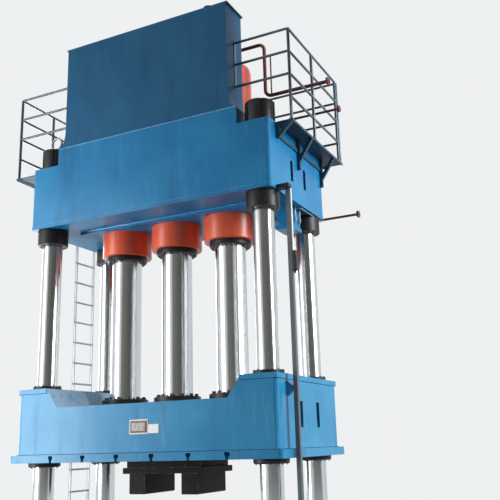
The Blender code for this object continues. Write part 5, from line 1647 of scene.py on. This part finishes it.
@dataclass
class Studio:
    """Floor, world, lamps, a grey screen for the metal to show, a card for shade, and the camera.

    Angles are in degrees, and the camera's focal length in the picture's own units. The flag is given
    by its place along X, its two ends along Y, its foot and its top.
    """

    camera_at: tuple[float, float, float] = (5.176, -8.302, 1.660)
    yaw: float = 26.199
    pitch: float = 14.509
    roll: float = -1.637
    focal: float = 748.3
    picture: float = 500.0
    sensor: float = 36.0
    clip: tuple[float, float] = (0.1, 300.0)
    floor_reach: float = 60.0
    pale: str = "#EEF0F1"
    sky: str = "#F4F7FA"
    ambient: float = 0.27
    lamps: list[Lamp] = field(default_factory=lambda: [
        Lamp("right_lamp", (13.0, 1.0, 7.5), (0.5, 0.0, 4.0), (5.0, 7.0), 1900.0),
        Lamp("front_left_lamp", (-8.5, -9.5, 6.0), (0.0, 0.0, 3.5), (5.0, 5.0), 390.0),
        Lamp("low_left_lamp", (-5.5, -5.0, 1.7), (-1.5, 0.0, 1.0), (2.5, 2.5), 280.0),
        Lamp("left_glow", (-4.2, -3.2, 3.6), (-1.8, -0.9, 4.6), (1.5, 1.5), 110.0, mirrored=False),
        Lamp("window_lamp", (-9.0, 5.0, 4.0), (0.0, 0.0, 3.5), (3.0, 6.0), 500.0),
    ])
    floor_dark: str = "#5F6264"
    fade: tuple[float, float] = (6.0, 12.0)
    screen_radius: float = 16.0
    screen_height: float = 16.0
    screen_sweep: tuple[float, float] = (-8.0, 92.0)
    screen_columns: int = 60
    screen_greys: tuple[str, str] = ("#8A8880", "#3A3C40")
    flag: tuple[float, ...] = (2.75, -1.4, -0.3, 5.65, 8.0)

    def build(self) -> None:
        """Set up everything that isn't the press."""
        self.build_camera()
        self.build_floor()
        self.build_world()
        self.build_screen()
        self.build_flag()
        for lamp in self.lamps:
            lamp.hang()
        bpy.context.scene.view_settings.view_transform = "Standard"

    def build_camera(self) -> None:
        """Stand the camera where the photograph was taken.

        The view direction d comes from yaw and pitch, right r and up u lie across it, and the roll
        turns r and u about d.
        """
        yaw, pitch, roll = (math.radians(angle) for angle in (self.yaw, self.pitch, self.roll))
        ahead = Vector((-math.sin(yaw) * math.cos(pitch), math.cos(yaw) * math.cos(pitch), math.sin(pitch)))
        level = Vector((math.cos(yaw), math.sin(yaw), 0.0))
        up = level.cross(ahead)
        right = level * math.cos(roll) + up * math.sin(roll)
        above = up * math.cos(roll) - level * math.sin(roll)
        data = bpy.data.cameras.new("photo_camera")
        data.sensor_width = self.sensor
        data.lens = self.focal * self.sensor / self.picture
        data.clip_start, data.clip_end = self.clip
        camera = bpy.data.objects.new("photo_camera", data)
        turn = Matrix((right, above, -ahead)).transposed().to_4x4()
        camera.matrix_world = Matrix.Translation(self.camera_at) @ turn
        bpy.context.scene.collection.objects.link(camera)
        bpy.context.scene.camera = camera

    def background_rays(self, tree: bpy.types.NodeTree) -> bpy.types.NodeSocket:
        """Mark the rays that show the pale background: the camera's, metal's and glass's.

        Args:
            tree: The node tree that asks.

        Returns:
            A socket that is 1 for such a ray and 0 for the rays that light the press.
        """
        rays = add(tree, "ShaderNodeLightPath").outputs
        seen = add(tree, "ShaderNodeMath", {0: rays["Is Camera Ray"], 1: rays["Is Glossy Ray"]},
                   operation="MAXIMUM")
        return add(tree, "ShaderNodeMath", {0: seen.outputs[0], 1: rays["Is Transmission Ray"]},
                   operation="MAXIMUM").outputs[0]

    def sheet(self, name: str, points: list[tuple[float, float, float]], faces: list[tuple[int, ...]],
              hidden_from: tuple[str, ...] = ()) -> bpy.types.Object:
        """Make a flat or bent sheet of the studio.

        Args:
            name: The sheet's name.
            points: Its corners.
            faces: The faces that join them.
            hidden_from: The kinds of ray that don't meet it.

        Returns:
            The sheet, in the scene.
        """
        mesh = bpy.data.meshes.new(name)
        mesh.from_pydata(points, [], faces)
        sheet = bpy.data.objects.new(name, mesh)
        bpy.context.scene.collection.objects.link(sheet)
        for ray in hidden_from:
            setattr(sheet, "visible_" + ray, False)
        return sheet

    def build_floor(self) -> None:
        """A plain floor, pale to the camera and to metal, that fades into the background.

        At distance d from the press the background's share is smoothstep((d - near) / (far - near)),
        so no horizon shows. The light that it throws up at the press is a darker floor's.
        """
        reach = self.floor_reach
        corners = [(x * reach, y * reach, 0.0) for x, y in ((-1, -1), (1, -1), (1, 1), (-1, 1))]
        floor = self.sheet("floor", corners, [(0, 1, 2, 3)])
        material = bpy.data.materials.new("pale_floor")
        material.use_nodes = True
        tree = material.node_tree
        tree.nodes.clear()
        near, far = self.fade
        shown = self.background_rays(tree)
        spot = add(tree, "ShaderNodeTexCoord").outputs["Object"]
        distance = add(tree, "ShaderNodeVectorMath", {0: spot}, operation="LENGTH").outputs["Value"]
        away = add(tree, "ShaderNodeMapRange", {0: distance, 1: near, 2: far, 3: 0.0, 4: 1.0},
                   interpolation_type="SMOOTHSTEP").outputs[0]
        share = add(tree, "ShaderNodeMath", {0: away, 1: shown}, operation="MULTIPLY").outputs[0]
        tone = add(tree, "ShaderNodeMix", {0: shown, 6: linear(self.floor_dark), 7: linear(self.pale)},
                   data_type="RGBA").outputs[2]
        matt = add(tree, "ShaderNodeBsdfDiffuse", {"Color": tone})
        glow = add(tree, "ShaderNodeEmission", {"Color": linear(self.pale), "Strength": 1.0})
        mix = add(tree, "ShaderNodeMixShader", {0: share, 1: matt.outputs[0], 2: glow.outputs[0]})
        add(tree, "ShaderNodeOutputMaterial", {"Surface": mix.outputs[0]})
        floor.data.materials.append(material)

    def build_world(self) -> None:
        """A soft sky, shown pale to the camera and to metal and glass."""
        world = bpy.data.worlds.new("studio")
        world.use_nodes = True
        tree = world.node_tree
        soft = tree.nodes["Background"]
        soft.inputs["Color"].default_value = linear(self.sky)
        soft.inputs["Strength"].default_value = self.ambient
        plain = add(tree, "ShaderNodeBackground", {"Color": linear(self.pale), "Strength": 1.0})
        shown = self.background_rays(tree)
        mix = add(tree, "ShaderNodeMixShader", {0: shown, 1: soft.outputs[0], 2: plain.outputs[0]})
        tree.links.new(mix.outputs[0], tree.nodes["World Output"].inputs["Surface"])
        bpy.context.scene.world = world

    def build_screen(self) -> None:
        """A wide grey screen that only shiny metal shows, so that chrome has a dark middle.

        A point of it at angle a from the front, toward the right, lies at (r sin a, -r cos a). Its
        grey darkens along that angle.
        """
        share = np.linspace(0.0, 1.0, self.screen_columns)
        start, end = np.radians(self.screen_sweep)
        angle = start + (end - start) * share
        foot = np.stack([np.sin(angle), -np.cos(angle), np.zeros_like(angle)], axis=-1) * self.screen_radius
        points = np.concatenate([foot + (0.0, 0.0, self.screen_height), foot])
        screen = self.sheet("reflection_screen", points.tolist(),
                            grid_faces(2, len(angle), False, False).tolist(),
                            ("camera", "diffuse", "shadow", "transmission"))
        shade = screen.data.attributes.new("shade", "FLOAT", "POINT")
        shade.data.foreach_set("value", np.tile(share, 2).astype(np.float32))
        material = bpy.data.materials.new("screen_grey")
        material.use_nodes = True
        tree = material.node_tree
        tree.nodes.clear()
        light, dark = self.screen_greys
        along = add(tree, "ShaderNodeAttribute", attribute_name="shade").outputs["Fac"]
        grey = add(tree, "ShaderNodeMix", {0: along, 6: linear(light), 7: linear(dark)},
                   data_type="RGBA").outputs[2]
        glow = add(tree, "ShaderNodeEmission", {"Color": grey, "Strength": 1.0})
        add(tree, "ShaderNodeOutputMaterial", {"Surface": glow.outputs[0]})
        screen.data.materials.append(material)

    def build_flag(self) -> None:
        """Stand a card between the right lamp and the tank's end, which it keeps dark."""
        x, near, far, foot, top = self.flag
        corners = [(x, near, foot), (x, far, foot), (x, far, top), (x, near, top)]
        flag = self.sheet("lamp_flag", corners, [(0, 1, 2, 3)],
                          ("camera", "diffuse", "glossy", "transmission"))


def main() -> None:
    """Build the stage and every sub-assembly of the press."""
    logging.basicConfig(level=logging.INFO, format="%(message)s")
    Studio().build()
    dress("bed", CROWN_BLUE)
    dress("bolster", MILLED)
    for part in (Columns(), Crown(), Cylinders(), Slide(), OilTank(), Walkway(), Ladder(), Pipework(),
                 StrokeSwitches()):
        LOG.info("building %s", type(part).__name__)
        part.build()
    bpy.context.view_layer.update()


if __name__ == "__main__":
    main()
